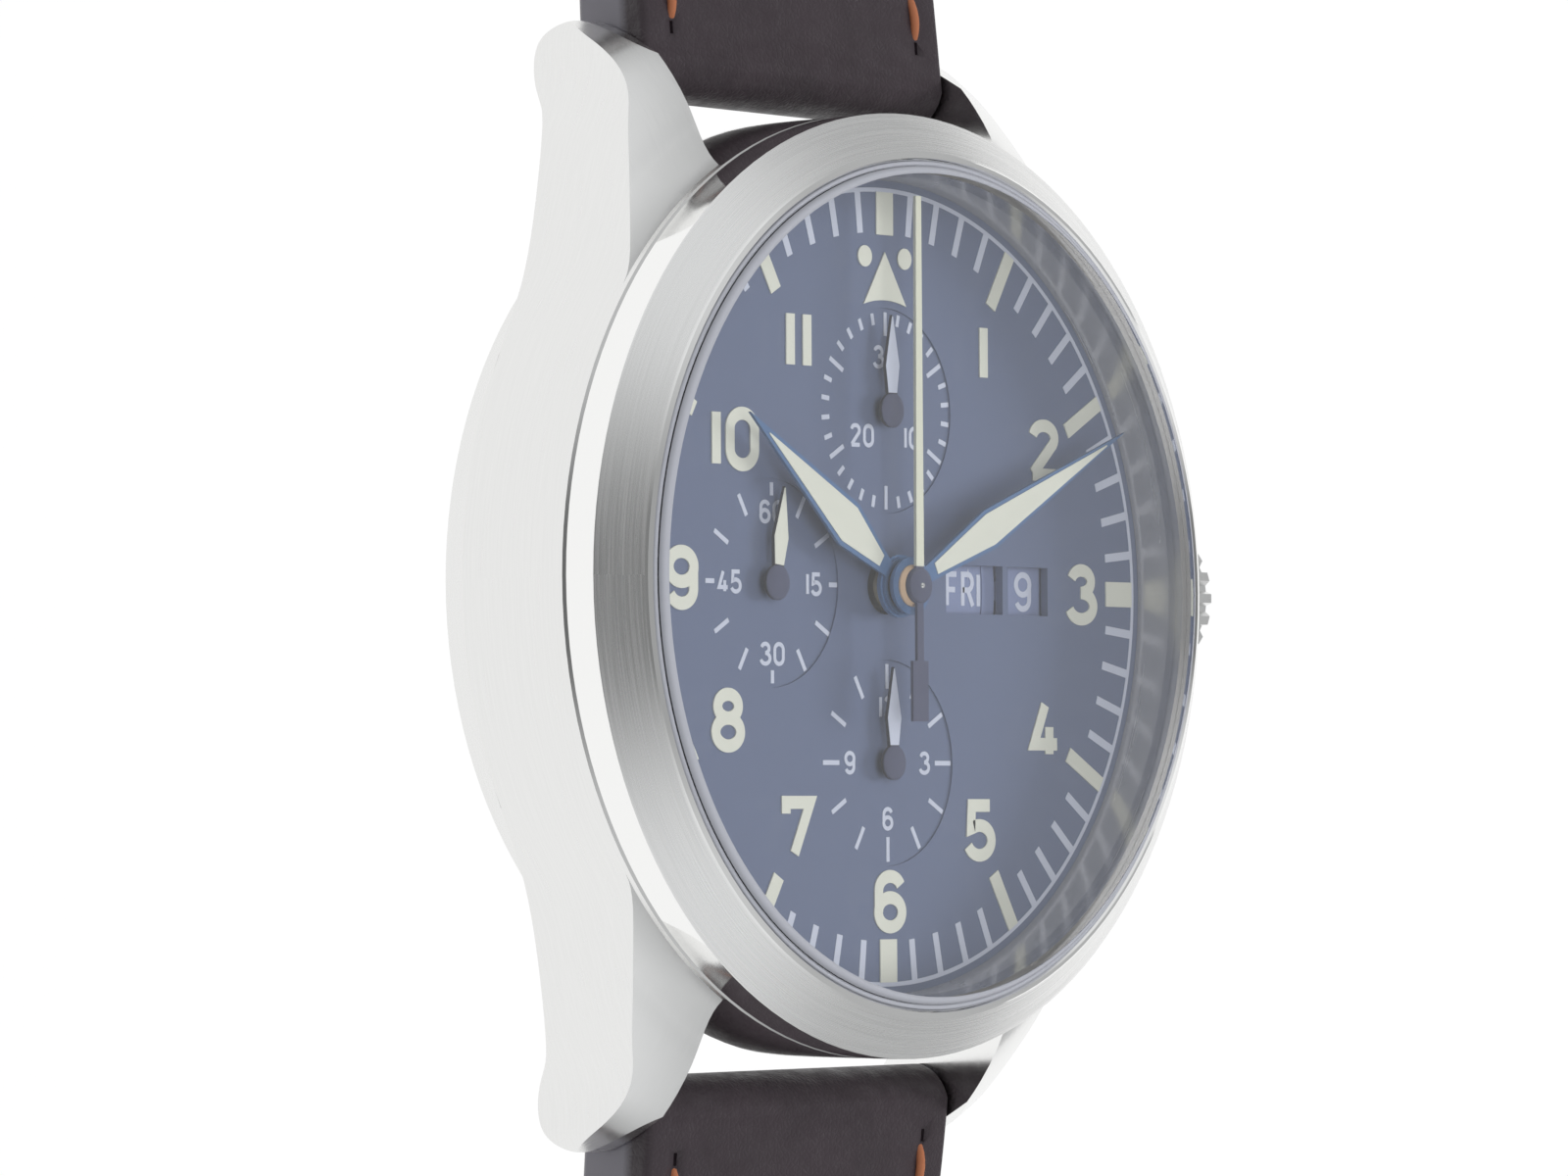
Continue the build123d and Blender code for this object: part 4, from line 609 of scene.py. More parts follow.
# How far past the bar each seam and its slit start: the side built at +X, then the other side
UPPER_SEAMS, UPPER_SLITS = (1.7, 1.3), (2.0, 1.6)
LOWER_SEAMS, LOWER_SLITS = (1.9, 1.4), (2.2, 1.7)
SLIT_WIDTH, SLIT_LENGTH, SLIT_DEPTH = 0.22, 0.6, 0.2
STITCH_PITCH, STITCH_SHARE = 3.7, 0.78
THREAD_RADIUS, THREAD_LIFT, THREAD_SINK, THREAD_SLANT = 0.27, 0.12, 0.5, 0.15
THREAD_END_SHARE, THREAD_FLATNESS, THREAD_SIDES = 0.7, 0.8, 8
LOOP_GAP, LOOP_WALL, LOOP_WIDTH = 0.2, 1.0, 5.0
LOOP_HIGH, LOOP_BEND, LOOP_EDGE_RADIUS, LOOP_PITCH = 7.7, 0.9, 0.3, 0.8
FIXED_LOOP_PLACE, FREE_LOOP_PLACE = 11.5, 28.0
BUCKLE_BAR = BAR_DISTANCE + STRAP_UPPER_LENGTH
STRAP_TAIL = BAR_DISTANCE + STRAP_LOWER_LENGTH
TAIL_SHOULDER = STRAP_TAIL - TAIL_POINT_LENGTH


def eased(start, end, share):
    """Height on a smooth curve that leaves with the strap's downward slope and arrives level."""
    a = share
    fall = (a**3 - 2 * a**2 + a) * STRAP_SLOPE_LENGTH * tan(radians(STRAP_SLOPE))
    return (2 * a**3 - 3 * a**2 + 1) * start - fall + (3 * a**2 - 2 * a**3) * end


def strap_levels(distance, floor):
    """Lowest and highest point of a strap half at a distance from the dial's centre."""
    past = distance - BAR_DISTANCE
    if past <= 0:
        inward = past + STRAP_LUG_REACH - STRAP_LUG_ROUND
        half = sqrt(max(STRAP_LUG_ROUND**2 - inward**2, 0))
        return BAR_HEIGHT - half, BAR_HEIGHT + half
    share = min(past / STRAP_SLOPE_LENGTH, 1)
    return (eased(BAR_HEIGHT - STRAP_LUG_HALF, floor, share),
            eased(BAR_HEIGHT + STRAP_LUG_HALF, floor + STRAP_THICKNESS, share))


def strap_half_width(distance):
    share = min(max((distance - BAR_DISTANCE) / STRAP_TAPER_LENGTH, 0), 1)
    return STRAP_HALF_WIDTH + share * (STRAP_END_HALF_WIDTH - STRAP_HALF_WIDTH)


def relief(distance):
    """Share of the crown and of the seams' channels, which grow from nought at the bar."""
    return min(max((distance - BAR_DISTANCE) / CROWN_START, 0), 1)


def strap_section(distance, half, low, high):
    """Points round a cross-section: soft corners, a crowned top, a channel under each seam."""
    share = relief(distance)
    crown, groove = STRAP_CROWN * share, SEAM_DEPTH * share
    inner = min(STRAP_EDGE_RADIUS, (high - low) / 2, half)
    corners = [[(x, z) for x, z, _ in corner]
               for corner in round_corners(half, low, high, inner, 4)]
    top, bottom = [], []
    for step in range(1, SECTION_STEPS):
        x = (half - inner) * (1 - 2 * step / SECTION_STEPS)
        edge = abs(abs(x) - (half - SEAM_INSET))
        lift = crown * (1 - (x / half) ** 2) - groove * max(0, 1 - edge / SEAM_CHANNEL_HALF)
        top.append((x, high + lift))
        bottom.append(((half - inner) * (2 * step / SECTION_STEPS - 1), low))
    ring = corners[0] + top + corners[1] + corners[2] + bottom + corners[3]
    return [(x, distance, z) for x, z in ring]


def strap_stations(end):
    """Distances of the cross-sections, close together round the end at the lugs."""
    start = [BAR_DISTANCE - STRAP_LUG_REACH * cos(radians(a)) for a in range(6, 90, 7)]
    count = int((end - BAR_DISTANCE) / STATION_PITCH)
    return start + [BAR_DISTANCE + (end - BAR_DISTANCE) * i / count for i in range(count + 1)]


def strap_piece(node, floor, end, holed):
    """One half of the strap, as a padded leather band. The holed half is turned to 6 o'clock."""
    def build(shape):
        rings = []
        stations = strap_stations(end)
        if not holed:
            stations += [end + STRAP_THICKNESS / 2 * sin(radians(a)) for a in END_ANGLES]
        for distance in stations:
            low, high = strap_levels(distance, floor)
            half = strap_half_width(distance)
            if not holed and distance > end:
                reach = sqrt(max((STRAP_THICKNESS / 2) ** 2 - (distance - end) ** 2, 0))
                middle = (low + high) / 2
                low, high = middle - reach, middle + reach
            if holed and distance > TAIL_SHOULDER:
                share = (distance - TAIL_SHOULDER) / TAIL_POINT_LENGTH
                half = half * sqrt(max(1 - share**TAIL_POWER, TAIL_BLUNT))
            rings.append(strap_section(distance, half, low, high))
        if holed:
            rings = [[(-x, -y, z) for x, y, z in ring] for ring in rings]
        close_tube(shape, rings)

    piece = make_piece(f"{node}_leather", build, looks["strap_leather"], node)
    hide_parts(node)
    return piece


def tail_holes(shape):
    for number in range(TAIL_HOLES):
        y = -(STRAP_TAIL - TAIL_FIRST_HOLE - number * TAIL_HOLE_PITCH)
        close_tube(shape, [circle_ring(0, y, z, TAIL_HOLE_RADIUS)
                           for z in (CUT_LOW, HOLE_CUT_HIGH)])


def box_outline(x, low, high, half):
    return [(x - half, low), (x + half, low), (x + half, high), (x - half, high)]


def tongue_slot(shape):
    outline = box_outline(0, BUCKLE_BAR - TONGUE_SLOT_DEPTH, BUCKLE_BAR + STRAP_THICKNESS,
                          TONGUE_SLOT_WIDTH / 2)
    prism(shape, outline, CUT_LOW, SLOT_CUT_HIGH)


def slits(starts, floor, sign):
    """Short cuts in the leather just before each seam."""
    edge = STRAP_HALF_WIDTH - SEAM_INSET

    def build(shape):
        for x, start in zip((edge, -edge), starts):
            distance = BAR_DISTANCE + start
            top = strap_levels(distance, floor)[1]
            outline = box_outline(x, distance - SLIT_LENGTH / 2, distance + SLIT_LENGTH / 2,
                                  SLIT_WIDTH / 2)
            outline = [(px * sign, py * sign) for px, py in outline]
            prism(shape, outline, top - SLIT_DEPTH, top + SLIT_CUT_HIGH)

    return build


upper_leather = strap_piece("upper_strap", UPPER_FLOOR, BUCKLE_BAR, False)
lower_leather = strap_piece("lower_strap", LOWER_FLOOR, STRAP_TAIL, True)
cut_with(lower_leather, tail_holes)
cut_with(upper_leather, tongue_slot)
cut_with(upper_leather, slits(UPPER_SLITS, UPPER_FLOOR, 1))
cut_with(lower_leather, slits(LOWER_SLITS, LOWER_FLOOR, -1))


# Seams and loops
def strap_top(x, distance, floor):
    """Height of the leather in a seam's channel."""
    crown = STRAP_CROWN * (1 - (x / strap_half_width(distance)) ** 2)
    return strap_levels(distance, floor)[1] + relief(distance) * (crown - SEAM_DEPTH)


def stitch(shape, start, end, floor, sign, steps=8):
    """One thread: it rises out of the leather, lies a little aslant and dives again."""
    rings = []
    direction = Vector((end[0] - start[0], end[1] - start[1], 0)).normalized()
    aside = Vector((-direction.y, direction.x, 0))
    for i in range(steps + 1):
        share = i / steps
        arch = sin(pi * share)
        x = start[0] + (end[0] - start[0]) * share
        distance = start[1] + (end[1] - start[1]) * share
        lift = THREAD_LIFT * arch**0.6 - THREAD_SINK * (1 - arch**0.4)
        middle = Vector((x, distance, strap_top(x, distance, floor) + lift))
        middle += aside * THREAD_SLANT * (share - 0.5)
        width = THREAD_RADIUS * (THREAD_END_SHARE + (1 - THREAD_END_SHARE) * arch)
        ring = []
        for k in range(THREAD_SIDES):
            angle = 2 * pi * k / THREAD_SIDES
            rise = Vector((0, 0, THREAD_FLATNESS * width * sin(angle)))
            point = middle + aside * width * cos(angle) + rise
            ring.append((point.x * sign, point.y * sign, point.z))
        rings.append(ring)
    close_tube(shape, rings)


def seam_line(first, last, side=1):
    """Points along one straight seam, from the case outwards, on the given side."""
    count = round((last - first) / STITCH_PITCH)
    points = []
    for i in range(count + 1):
        distance = first + (last - first) * i / count
        points.append((side * (strap_half_width(distance) - SEAM_INSET), distance))
    return points


def tail_seam(steps=60):
    """The seam round the strap's pointed end, from one long side to the other."""
    outline = []
    for i in range(steps + 1):
        share = sin(pi / 2 * i / steps)
        x = STRAP_END_HALF_WIDTH * sqrt(max(1 - share**TAIL_POWER, 0))
        outline.append(Vector((x, TAIL_SHOULDER + TAIL_POINT_LENGTH * share)))
    inner = []
    for i, point in enumerate(outline):
        before, after = outline[max(i - 1, 0)], outline[min(i + 1, steps)]
        along = (after - before).normalized()
        inner.append(point + Vector((-along.y, along.x)) * SEAM_INSET)
    inner = [p for p in inner if p.x > 0]
    inner.append(Vector((0, inner[-1].y)))
    inner += [Vector((-p.x, p.y)) for p in reversed(inner[:-1])]
    return evenly(inner, STITCH_PITCH)


def evenly(points, pitch):
    """Points spaced a pitch apart along a line."""
    lengths = [0]
    for first, second in zip(points, points[1:]):
        lengths.append(lengths[-1] + (second - first).length)
    count = round(lengths[-1] / pitch)
    result = []
    place = 0
    for i in range(count + 1):
        target = lengths[-1] * i / count
        while place < len(points) - 2 and lengths[place + 1] < target:
            place += 1
        span = lengths[place + 1] - lengths[place]
        share = (target - lengths[place]) / span
        result.append(tuple(points[place] + (points[place + 1] - points[place]) * share))
    return result


def seams(node, lines, floor, sign):
    def build(shape):
        for line in lines:
            for first, second in zip(line, line[1:]):
                first, second = Vector(first), Vector(second)
                start = first + (second - first) * (1 - STITCH_SHARE) / 2
                end = second - (second - first) * (1 - STITCH_SHARE) / 2
                stitch(shape, start, end, floor, sign)

    make_piece(f"{node}_stitches", build, THREAD_LOOK, node)


def seam_pair(starts, last):
    return [seam_line(BAR_DISTANCE + start, last, side) for start, side in zip(starts, (1, -1))]


seams("upper_strap", seam_pair(UPPER_SEAMS, BUCKLE_BAR - UPPER_SEAM_END), UPPER_FLOOR, 1)
seams("lower_strap", [*seam_pair(LOWER_SEAMS, TAIL_SHOULDER), tail_seam()], LOWER_FLOOR, -1)


def loop_piece(name, y, body, node):
    """A leather loop: a flat band bent round the strap, with soft edges."""
    half_width = STRAP_END_HALF_WIDTH + LOOP_GAP + LOOP_WALL / 2
    corners = round_corners(half_width, LOOP_WALL / 2, LOOP_HIGH, LOOP_BEND, 6)
    path = [(Vector((x, z)), Vector((cos(a), sin(a)))) for corner in corners for x, z, a in corner]
    band = round_corners(LOOP_WIDTH / 2, -LOOP_WALL / 2, LOOP_WALL / 2, LOOP_EDGE_RADIUS, 3)
    profile = [(across, rise) for corner in band for across, rise, _ in corner]

    def build(shape):
        rings = []
        for (point, out), (following, _) in zip(path, path[1:] + path[:1]):
            pieces = max(1, int((following - point).length / LOOP_PITCH))
            for i in range(pieces):
                middle = point + (following - point) * i / pieces
                places = [(middle + out * rise, across) for across, rise in profile]
                rings.append([(place.x, y + across, place.y) for place, across in places])
        close_tube(shape, rings + rings[:1], False)
        weld(shape, 1e-7)

    piece = make_piece(name, build, looks["strap_leather"], body)
    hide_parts(node)


loop_piece("fixed_leather_loop", BUCKLE_BAR - FIXED_LOOP_PLACE, "upper_strap", "fixed_keeper")
loop_piece("free_leather_loop", BUCKLE_BAR - FREE_LOOP_PLACE, "free_keeper", "free_keeper")


# Signs
def arc(x, y, wide, high, start, stop):
    """Points on an ellipse between two angles."""
    steps = max(3, round(abs(stop - start) / 9))
    angles = [radians(start + (stop - start) * i / steps) for i in range(steps + 1)]
    return [(x + wide * cos(a), y + high * sin(a)) for a in angles]


def rounded(x, y, wide, high):
    return arc(x, y, wide, high, 0, 360)[:-1]


# Each sign's strokes in a unit box, and whether each stroke is closed
SIGNS = {
    "0": [(arc(0.5, 0.7, 0.5, 0.3, 0, 180) + arc(0.5, 0.3, 0.5, 0.3, 180, 360), True)],
    "1": [([(0.5, 0), (0.5, 1)], False)],
    "2": [(arc(0.49, 0.75, 0.48, 0.25, 168, -28) + [(0.02, 0.02)], False),
          ([(0, 0), (1, 0)], False)],
    "3": [(arc(0.46, 0.77, 0.44, 0.23, 165, -92), False),
          (arc(0.46, 0.27, 0.54, 0.27, 92, -165), False)],
    "4": [([(0.56, 1), (0.06, 0.2), (1.08, 0.2)], False), ([(0.74, 0.55), (0.74, 0)], False)],
    "5": [([(0.9, 1), (0.12, 1), (0.08, 0.54)] + arc(0.45, 0.3, 0.52, 0.3, 118, -158), False)],
    "6": [(arc(0.5, 0.72, 0.48, 0.28, 22, 180) + [(0.02, 0.3)], False),
          (rounded(0.5, 0.29, 0.5, 0.29), True)],
    "7": [([(0, 0.78), (0, 1), (1, 1), (0.34, 0)], False)],
    "8": [(rounded(0.5, 0.77, 0.42, 0.23), True), (rounded(0.5, 0.27, 0.5, 0.27), True)],
    "A": [([(0, 0), (0.5, 1), (1, 0)], False), ([(0.2, 0.3), (0.8, 0.3)], False)],
    "D": [([(0, 0), (0, 1), (0.4, 1)] + arc(0.4, 0.5, 0.6, 0.5, 90, -90), True)],
    "E": [([(0.95, 0), (0, 0), (0, 1), (0.95, 1)], False), ([(0, 0.5), (0.8, 0.5)], False)],
    "F": [([(0, 0), (0, 1), (0.95, 1)], False), ([(0, 0.5), (0.8, 0.5)], False)],
    "H": [([(0, 0), (0, 1)], False), ([(1, 0), (1, 1)], False), ([(0, 0.5), (1, 0.5)], False)],
    "M": [([(0, 0), (0, 1), (0.5, 0.35), (1, 1), (1, 0)], False)],
    "N": [([(0, 0), (0, 1), (1, 0), (1, 1)], False)],
    "R": [([(0, 0), (0, 1), (0.5, 1)] + arc(0.5, 0.75, 0.45, 0.25, 90, -90) + [(0, 0.5)], False),
          ([(0.5, 0.5), (1, 0)], False)],
    "S": [(arc(0.5, 0.75, 0.46, 0.25, 20, 270) + arc(0.5, 0.25, 0.5, 0.25, 90, -160), False)],
    "T": [([(0, 1), (1, 1)], False), ([(0.5, 0), (0.5, 1)], False)],
    "U": [([(0, 1), (0, 0.3)] + arc(0.5, 0.3, 0.5, 0.3, 180, 360) + [(1, 1)], False)],
    "W": [([(0, 1), (0.25, 0), (0.5, 0.8), (0.75, 0), (1, 1)], False)],
}
SIGNS["9"] = [([(1 - x, 1 - y) for x, y in points], closed) for points, closed in SIGNS["6"]]
SIGNS["O"] = SIGNS["0"]
SIGNS["I"] = SIGNS["1"]
NARROW = "1I"
MITRE_LIMIT = 0.45

# Height, width, stroke and gap of each lettering
NUMERAL_FORM = (2.95, 2.3, 0.6, 0.35)
ELEVEN_FORM = (2.95, 2.3, 0.6, 0.57)
COUNTER_FORM = (1.1, 0.78, 0.19, 0.15)
DAY_FORM = (1.75, 1.0, 0.26, 0.16)
DATE_FORM = (1.9, 1.3, 0.28, 0.14)


def lettering(text, height, width, stroke, gap):
    """Strokes of a short text, centred on its middle. Height and width are a sign's outside."""
    strokes = []
    left = 0
    for sign in text:
        wide = stroke if sign in NARROW else width
        for points, closed in SIGNS[sign]:
            moved = []
            for x, y in points:
                across = 0 if sign in NARROW else x * (width - stroke)
                rise = stroke / 2 + y * (height - stroke) - height / 2
                moved.append((left + stroke / 2 + across, rise))
            strokes.append((moved, closed))
        left += wide + gap
    middle = (left - gap) / 2
    return [([(x - middle, y) for x, y in points], closed) for points, closed in strokes]


def turned(points, angle, x=0.0, y=0.0):
    """Points turned clockwise and moved."""
    c, s = cos(radians(angle)), sin(radians(angle))
    return [(x + px * c + py * s, y - px * s + py * c) for px, py in points]


def ribbon(shape, points, closed, width, low, high):
    """A flat stroke of even width along a line, as a closed prism."""
    count = len(points)
    rings = []
    for i, point in enumerate(points):
        here = Vector(point)
        before = Vector(points[(i - 1) % count]) if closed or i > 0 else None
        after = Vector(points[(i + 1) % count]) if closed or i < count - 1 else None
        into = (here - before).normalized() if before else None
        out = (after - here).normalized() if after else None
        into, out = into or out, out or into
        along = (into + out).normalized()
        stretch = 1 / max(along.dot(into), MITRE_LIMIT)
        aside = Vector((-along.y, along.x)) * width / 2 * stretch
        left, right = here + aside, here - aside
        rings.append([(left.x, left.y, low), (right.x, right.y, low), (right.x, right.y, high),
                      (left.x, left.y, high)])
    if closed:
        close_tube(shape, rings + rings[:1], False)
    else:
        close_tube(shape, rings)


# Dial print
DIAL_TOP = 9.8
SUBDIAL_TOP = 9.72
SUBDIAL_OFFSET = 8.2
INK = 0.015
LUME = 0.06
STEP = 0.001

NUMERAL_PLACES = {
    "1": (7.22, 11.24), "2": (11.72, 6.78), "3": (14.58, -0.07), "4": (11.59, -6.56),
    "5": (6.79, -11.36), "6": (0.14, -14.65), "7": (-6.36, -11.21), "8": (-11.2, -6.31),
    "9": (-14.34, 0.1), "10": (-10.6, 6.5), "11": (-6.16, 11.23),
}
TRACK_RADIUS, TRACK_HALF_LINE = 18.5, 0.1
MINUTE_MARK = (2.0, 0.4)
HOUR_MARK, QUARTER_MARK = (2.9, 0.75), (2.0, 1.2)
TRIANGLE_TOP, TRIANGLE_HALF, TRIANGLE_FOOT_RADIUS = 15.6, 1.53, 5.15
DOT_SIDE, DOT_HEIGHT, DOT_RADIUS = 1.43, 15.35, 0.5
COUNTER_RADIUS, TICK_HALF_WIDTH = 4.6, 0.11
PRINT_SHIFT, LEFT_PRINT_SHIFT = 0.14, 1.6 * 0.14


def write(shape, text, form, placed, low, thick):
    """A text in raised strokes, each a hair above the one before."""
    for i, (points, closed) in enumerate(lettering(text, *form)):
        ribbon(shape, placed(points), closed, form[2], low, low + thick + STEP * i)


def numerals(shape):
    for text, (x, y) in NUMERAL_PLACES.items():
        form = ELEVEN_FORM if text == "11" else NUMERAL_FORM
        write(shape, text, form, lambda points: turned(points, 0, x, y), DIAL_TOP, LUME)
    weld(shape)


def marker(shape, angle, outer, size, high):
    length, width = size
    prism(shape, turned(box_outline(0, outer - length, outer, width / 2), angle), DIAL_TOP, high)


def hour_markers(shape, foot_steps=8):
    for hour in range(12):
        size = QUARTER_MARK if hour % 3 == 0 else HOUR_MARK
        marker(shape, 30 * hour, TRACK_RADIUS - TRACK_HALF_LINE, size, DIAL_TOP + LUME)
    foot = []
    for i in range(foot_steps + 1):
        x = TRIANGLE_HALF - 2 * TRIANGLE_HALF * i / foot_steps
        foot.append((x, SUBDIAL_OFFSET + sqrt(TRIANGLE_FOOT_RADIUS**2 - x**2)))
    prism(shape, [(0, TRIANGLE_TOP), *reversed(foot)], DIAL_TOP, DIAL_TOP + LUME)
    for x in (-DOT_SIDE, DOT_SIDE):
        close_tube(shape, [circle_ring(x, DOT_HEIGHT, z, DOT_RADIUS)
                           for z in (DIAL_TOP, DIAL_TOP + LUME)])


def minute_track(shape):
    inner, outer = TRACK_RADIUS - TRACK_HALF_LINE, TRACK_RADIUS + TRACK_HALF_LINE
    round_band(inner, outer, (DIAL_TOP,) * 2, (DIAL_TOP + INK,) * 2, 240)(shape)
    for minute in range(60):
        if minute % 5:
            marker(shape, 6 * minute, TRACK_RADIUS, MINUTE_MARK, DIAL_TOP + INK + STEP)
    weld(shape)


def subdial_print(shape, x, y, ticks, numbers):
    """Ticks as (angle, length) and numbers as (text, x, y) on one counter."""
    x += LEFT_PRINT_SHIFT if x < 0 else PRINT_SHIFT
    for angle, length in ticks:
        outline = box_outline(0, COUNTER_RADIUS - length, COUNTER_RADIUS, TICK_HALF_WIDTH)
        prism(shape, turned(outline, angle, x, y), SUBDIAL_TOP, SUBDIAL_TOP + INK)
    for text, dx, dy in numbers:
        write(shape, text, COUNTER_FORM, lambda points: turned(points, 0, x + dx, y + dy),
              SUBDIAL_TOP, INK)


def counters(shape):
    seconds = [(30 * i, 0.6 if i % 3 == 0 else 1.1) for i in range(12)]
    hours = [(30 * i, 1.15) for i in range(12)]
    minutes = [(12 * i, 1.1 if i % 5 == 0 else 0.55) for i in range(30)]
    subdial_print(shape, -SUBDIAL_OFFSET, 0, seconds,
                  [("60", 0, 3.25), ("15", 2.95, 0), ("30", 0, -3.25), ("45", -2.95, 0)])
    subdial_print(shape, 0, -SUBDIAL_OFFSET, hours,
                  [("12", 0, 2.6), ("3", 2.7, 0), ("6", 0, -2.6), ("9", -2.7, 0)])
    subdial_print(shape, 0, SUBDIAL_OFFSET, minutes,
                  [("30", 0, 2.5), ("20", -1.7, -1.2), ("10", 1.9, -1.2)])
    weld(shape)


make_piece("numerals", numerals, LUME_LOOK, "case", smooth=False)
make_piece("hour_markers", hour_markers, LUME_LOOK, "case", smooth=False)
make_piece("minute_track", minute_track, INK_LOOK, "case", smooth=False)
make_piece("counter_print", counters, INK_LOOK, "case", smooth=False)

# Day and date discs
DISC_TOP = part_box("day_disc")[1].z / MM
DAYS = ("FRI", "SAT", "SUN", "MON", "TUE", "WED", "THU")
DAY_PRINT_RADIUS, DATE_PRINT_RADIUS = 6.3, 10.8
DATES, WINDOW_DATE = 31, 9
LIP_INNER, LIP_OUTER = 7.7, 8.6


def disc_print(texts, shown, form, radius):
    """Builder of a disc's texts, the shown one at 3 o'clock and the rest clockwise after it."""
    def build(shape):
        for number, text in enumerate(texts):
            angle = 360 * (number - shown) / len(texts)
            write(shape, text, form, lambda points: turned(turned(points, 0, radius, 0), angle),
                  DISC_TOP, INK)
        weld(shape)

    return build


DISC_LIP = round_band(LIP_INNER, LIP_OUTER, (DISC_TOP + 0.01,) * 2, (DISC_TOP + 0.04,) * 2)
DAY_NAMES = disc_print(DAYS, 0, DAY_FORM, DAY_PRINT_RADIUS)
DATE_NUMBERS = disc_print([str(day + 1) for day in range(DATES)], WINDOW_DATE - 1, DATE_FORM,
                          DATE_PRINT_RADIUS)
make_piece("day_disc_lip", DISC_LIP, looks["disc_blue"], "day_disc", smooth=False)
make_piece("day_names", DAY_NAMES, INK_LOOK, "day_disc", smooth=False)
make_piece("date_numbers", DATE_NUMBERS, INK_LOOK, "date_ring", smooth=False)

# Hands: half outlines of the luminous fillings, and the hands' angles at rest
HOUR_FILL, HOUR_ANGLE = [(0.30, 1.95), (0.95, 4.75), (0.03, 11.6)], 305.6
MINUTE_FILL, MINUTE_ANGLE = [(0.28, 1.95), (0.78, 6.39), (0.03, 16.2)], 64.2
SMALL_FILL = [(0.30, 0.82), (0.48, 2.09), (0.03, 4.38)]
FILL_HEIGHT, SMALL_FILL_HEIGHT = 0.03, 0.02
COUNTERS = {
    "small_seconds": (-SUBDIAL_OFFSET, 0, 6.9, LUME_LOOK),
    "minute_counter": (0, SUBDIAL_OFFSET, 0, INK_LOOK),
    "hour_counter": (0, -SUBDIAL_OFFSET, 0, INK_LOOK),
}
CAP_RADIUS, SMALL_CAP_RISE, HUB_CAP_RISE = 0.82, 0.12, 0.14
PIN_RADIUS, PIN_LIFT, PIN_RISE = 0.15, 0.12, 0.12
COLLAR_INNER, COLLAR_OUTER, COLLAR_INNER_RISE, COLLAR_OUTER_RISE = 0.84, 0.98, 0.3, 0.1


def hand_top(node):
    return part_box(node)[1].z / MM


def hand_fill(name, points, angle, x, y, low, height, material, body):
    """Luminous filling on a hand: half its outline, mirrored, and turned with the hand."""
    outline = points + [(-px, py) for px, py in reversed(points)]
    make_piece(name, lambda shape: prism(shape, turned(outline, angle, x, y), low, low + height),
               material, body, smooth=False)


def dome(shape, radius, low, rise, steps=32, levels=6):
    rings = [circle_ring(0, 0, low, radius, steps)]
    for i in range(1, levels):
        angle = pi / 2 * i / levels
        rings.append(circle_ring(0, 0, low + rise * sin(angle), radius * cos(angle), steps))
    close_tube(shape, rings)


def small_cap(body, x, y):
    def build(shape):
        dome(shape, CAP_RADIUS, 0.0, SMALL_CAP_RISE)
        place = Vector((x, y, hand_top(f"{body}_hand"))) * MM
        bmesh.ops.translate(shape, verts=shape.verts, vec=place)

    make_piece(f"{body}_cap", build, CAP_LOOK, body)


hand_fill("hour_lume", HOUR_FILL, HOUR_ANGLE, 0, 0, hand_top("hour_hand"), FILL_HEIGHT,
          LUME_LOOK, "hour_train")
hand_fill("minute_lume", MINUTE_FILL, MINUTE_ANGLE, 0, 0, hand_top("minute_hand"), FILL_HEIGHT,
          LUME_LOOK, "minute_train")
for body, (x, y, angle, look) in COUNTERS.items():
    hand_fill(f"{body}_fill", SMALL_FILL, angle, x, y, hand_top(f"{body}_hand"),
              SMALL_FILL_HEIGHT, look, body)
for body, (x, y, _, _) in COUNTERS.items():
    small_cap(body, x, y)
seconds_top = hand_top("chronograph_seconds_hand")
make_piece("seconds_hub_cap", lambda shape: dome(shape, CAP_RADIUS, seconds_top, HUB_CAP_RISE),
           CAP_LOOK, "chronograph_seconds")
make_piece("seconds_hub_pin",
           lambda shape: dome(shape, PIN_RADIUS, seconds_top + PIN_LIFT, PIN_RISE),
           looks["polished_steel"], "chronograph_seconds")
minute_top = hand_top("minute_hand")
# Gold collar on the minute hand's hub, with a painted highlight in its pale matt colour
HUB_COLLAR = round_band(COLLAR_INNER, COLLAR_OUTER, (minute_top + 0.01,) * 2,
                        (minute_top + COLLAR_INNER_RISE, minute_top + COLLAR_OUTER_RISE), 40)
make_piece("minute_hub_collar", HUB_COLLAR, GILT_PAINTED_HIGHLIGHT_LOOK, "minute_train", smooth=False)

# Pale rings on the front glass's bevelled edge and on the joint between the glass and the bezel's
# bore: painted highlights
GLASS_RADIUS, GLASS_SIDE_TOP, GLASS_BEVEL_WIDTH, GLASS_BEVEL_HEIGHT = 19.45, 14.1, 0.35, 0.3
BORE_RADIUS = 19.7
EDGE_LIFT = 0.015
EDGE_LOW = (GLASS_SIDE_TOP + GLASS_BEVEL_HEIGHT + EDGE_LIFT, GLASS_SIDE_TOP + EDGE_LIFT)
EDGE_HIGH = tuple(level + EDGE_LIFT for level in EDGE_LOW)
JOINT_LOW, JOINT_HIGH = (GLASS_SIDE_TOP - 0.25,) * 2, (GLASS_SIDE_TOP - 0.06,) * 2
EDGE_BAND = round_band(GLASS_RADIUS - GLASS_BEVEL_WIDTH, GLASS_RADIUS, EDGE_LOW, EDGE_HIGH, 180)
JOINT_BAND = round_band(GLASS_RADIUS + EDGE_LIFT, BORE_RADIUS - EDGE_LIFT, JOINT_LOW, JOINT_HIGH,
                        180)
make_piece("crystal_edge_painted_highlight", EDGE_BAND, GLASS_EDGE_PAINTED_HIGHLIGHT, "case")
make_piece("crystal_joint_painted_highlight", JOINT_BAND, GLASS_EDGE_PAINTED_HIGHLIGHT, "case")

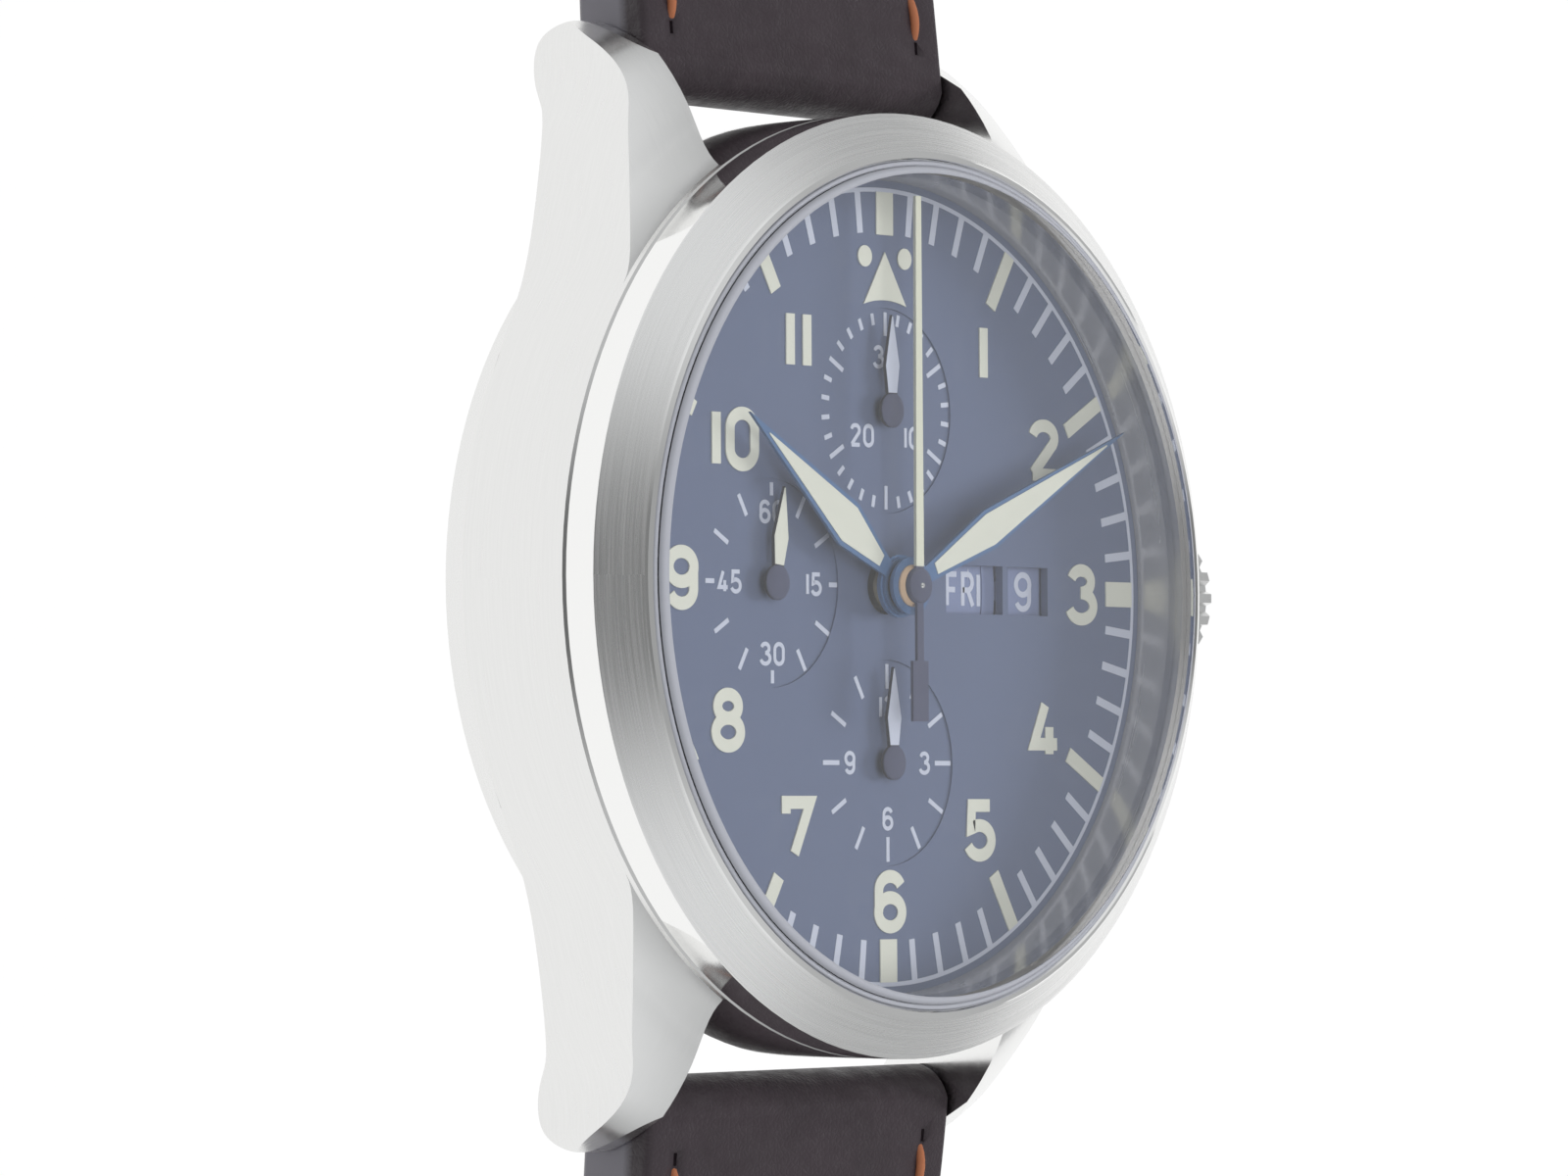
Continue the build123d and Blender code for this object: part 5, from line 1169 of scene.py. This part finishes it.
# Floor, below the strap halves when they fold down, and light
FLOOR_GAP = 145.0
FLOOR_HALF_SIZE = 3.0
FLOOR_WHITE = (0.9, 0.9, 0.9)
FLOOR_GLOW_SHARE = 0.96
WORLD_COLOUR = (0.98, 0.99, 1.0, 1)
LEFT_LEVEL, RIGHT_LEVEL, PANEL_LEVEL = 0.22, 0.47, 0.82
# Spans of direction over which the studio lightens and each panel begins, fades and rises
LEVEL_SPAN, PANEL_SIDES, PANEL_FADE, PANEL_FOOT = (-0.4, 0.3), (0.22, 0.6), (0.2, 0.5), (0.0, 0.3)


def make_floor():
    """A white floor, plain to the camera and in reflections, that still takes a shadow."""
    mesh = to_mesh("floor", lambda shape: bmesh.ops.create_grid(
        shape, x_segments=1, y_segments=1, size=FLOOR_HALF_SIZE))
    floor = bpy.data.objects.new("floor", mesh)
    bpy.context.scene.collection.objects.link(floor)
    floor.location = (0, 0, cad_box[0].z - FLOOR_GAP * MM)
    material = new_look("floor_white", FLOOR_WHITE, 0.9)
    path = add(material, "ShaderNodeLightPath").outputs
    mirrored = maths(material, "MAXIMUM", path["Is Glossy Ray"], path["Is Transmission Ray"])
    seen = maths(material, "MAXIMUM", path["Is Camera Ray"], mirrored)
    glow = add(material, "ShaderNodeEmission", {"Color": (1, 1, 1, 1), "Strength": 1.0})
    surface(material, maths(material, "MULTIPLY", seen, FLOOR_GLOW_SHARE), glow)
    floor.data.materials.append(material)


def make_world():
    """A dim studio, lighter to the right, with a bright panel towards 12 and one towards 6."""
    world = bpy.data.worlds.new("studio")
    bpy.context.scene.world = world
    world.use_nodes = True
    x, y, z = axes(world, add(world, "ShaderNodeTexCoord").outputs["Generated"])
    base = ramp(world, x, *LEVEL_SPAN, LEFT_LEVEL, RIGHT_LEVEL)
    sides = ramp(world, size_of(world, y), *PANEL_SIDES, 0.0, 1.0)
    right = ramp(world, x, *PANEL_FADE, 1.0, 0.0)
    foot = ramp(world, z, *PANEL_FOOT, 0.0, 1.0)
    panel = maths(world, "MULTIPLY", maths(world, "MULTIPLY", sides, right), foot)
    background = world.node_tree.nodes["Background"]
    background.inputs["Color"].default_value = WORLD_COLOUR
    level = blend(world, panel, base, PANEL_LEVEL)
    world.node_tree.links.new(level, background.inputs["Strength"])


def area_lamp(name, place, size, power):
    """A square of light that faces the watch and shows in no reflection."""
    data = bpy.data.lights.new(name, "AREA")
    data.size = size
    data.energy = power
    lamp = bpy.data.objects.new(name, data)
    bpy.context.scene.collection.objects.link(lamp)
    lamp.location = place
    lamp.rotation_euler = (-Vector(place)).to_track_quat("-Z", "Y").to_euler()
    lamp.visible_glossy = False
    lamp.visible_transmission = False


make_floor()
make_world()
area_lamp("right_softbox", (1.0, 0.05, 0.6), 0.35, 9.0)
area_lamp("top_softbox", (-0.25, 0.0, 1.0), 0.8, 6.5)

bpy.context.scene.view_settings.view_transform = "Standard"
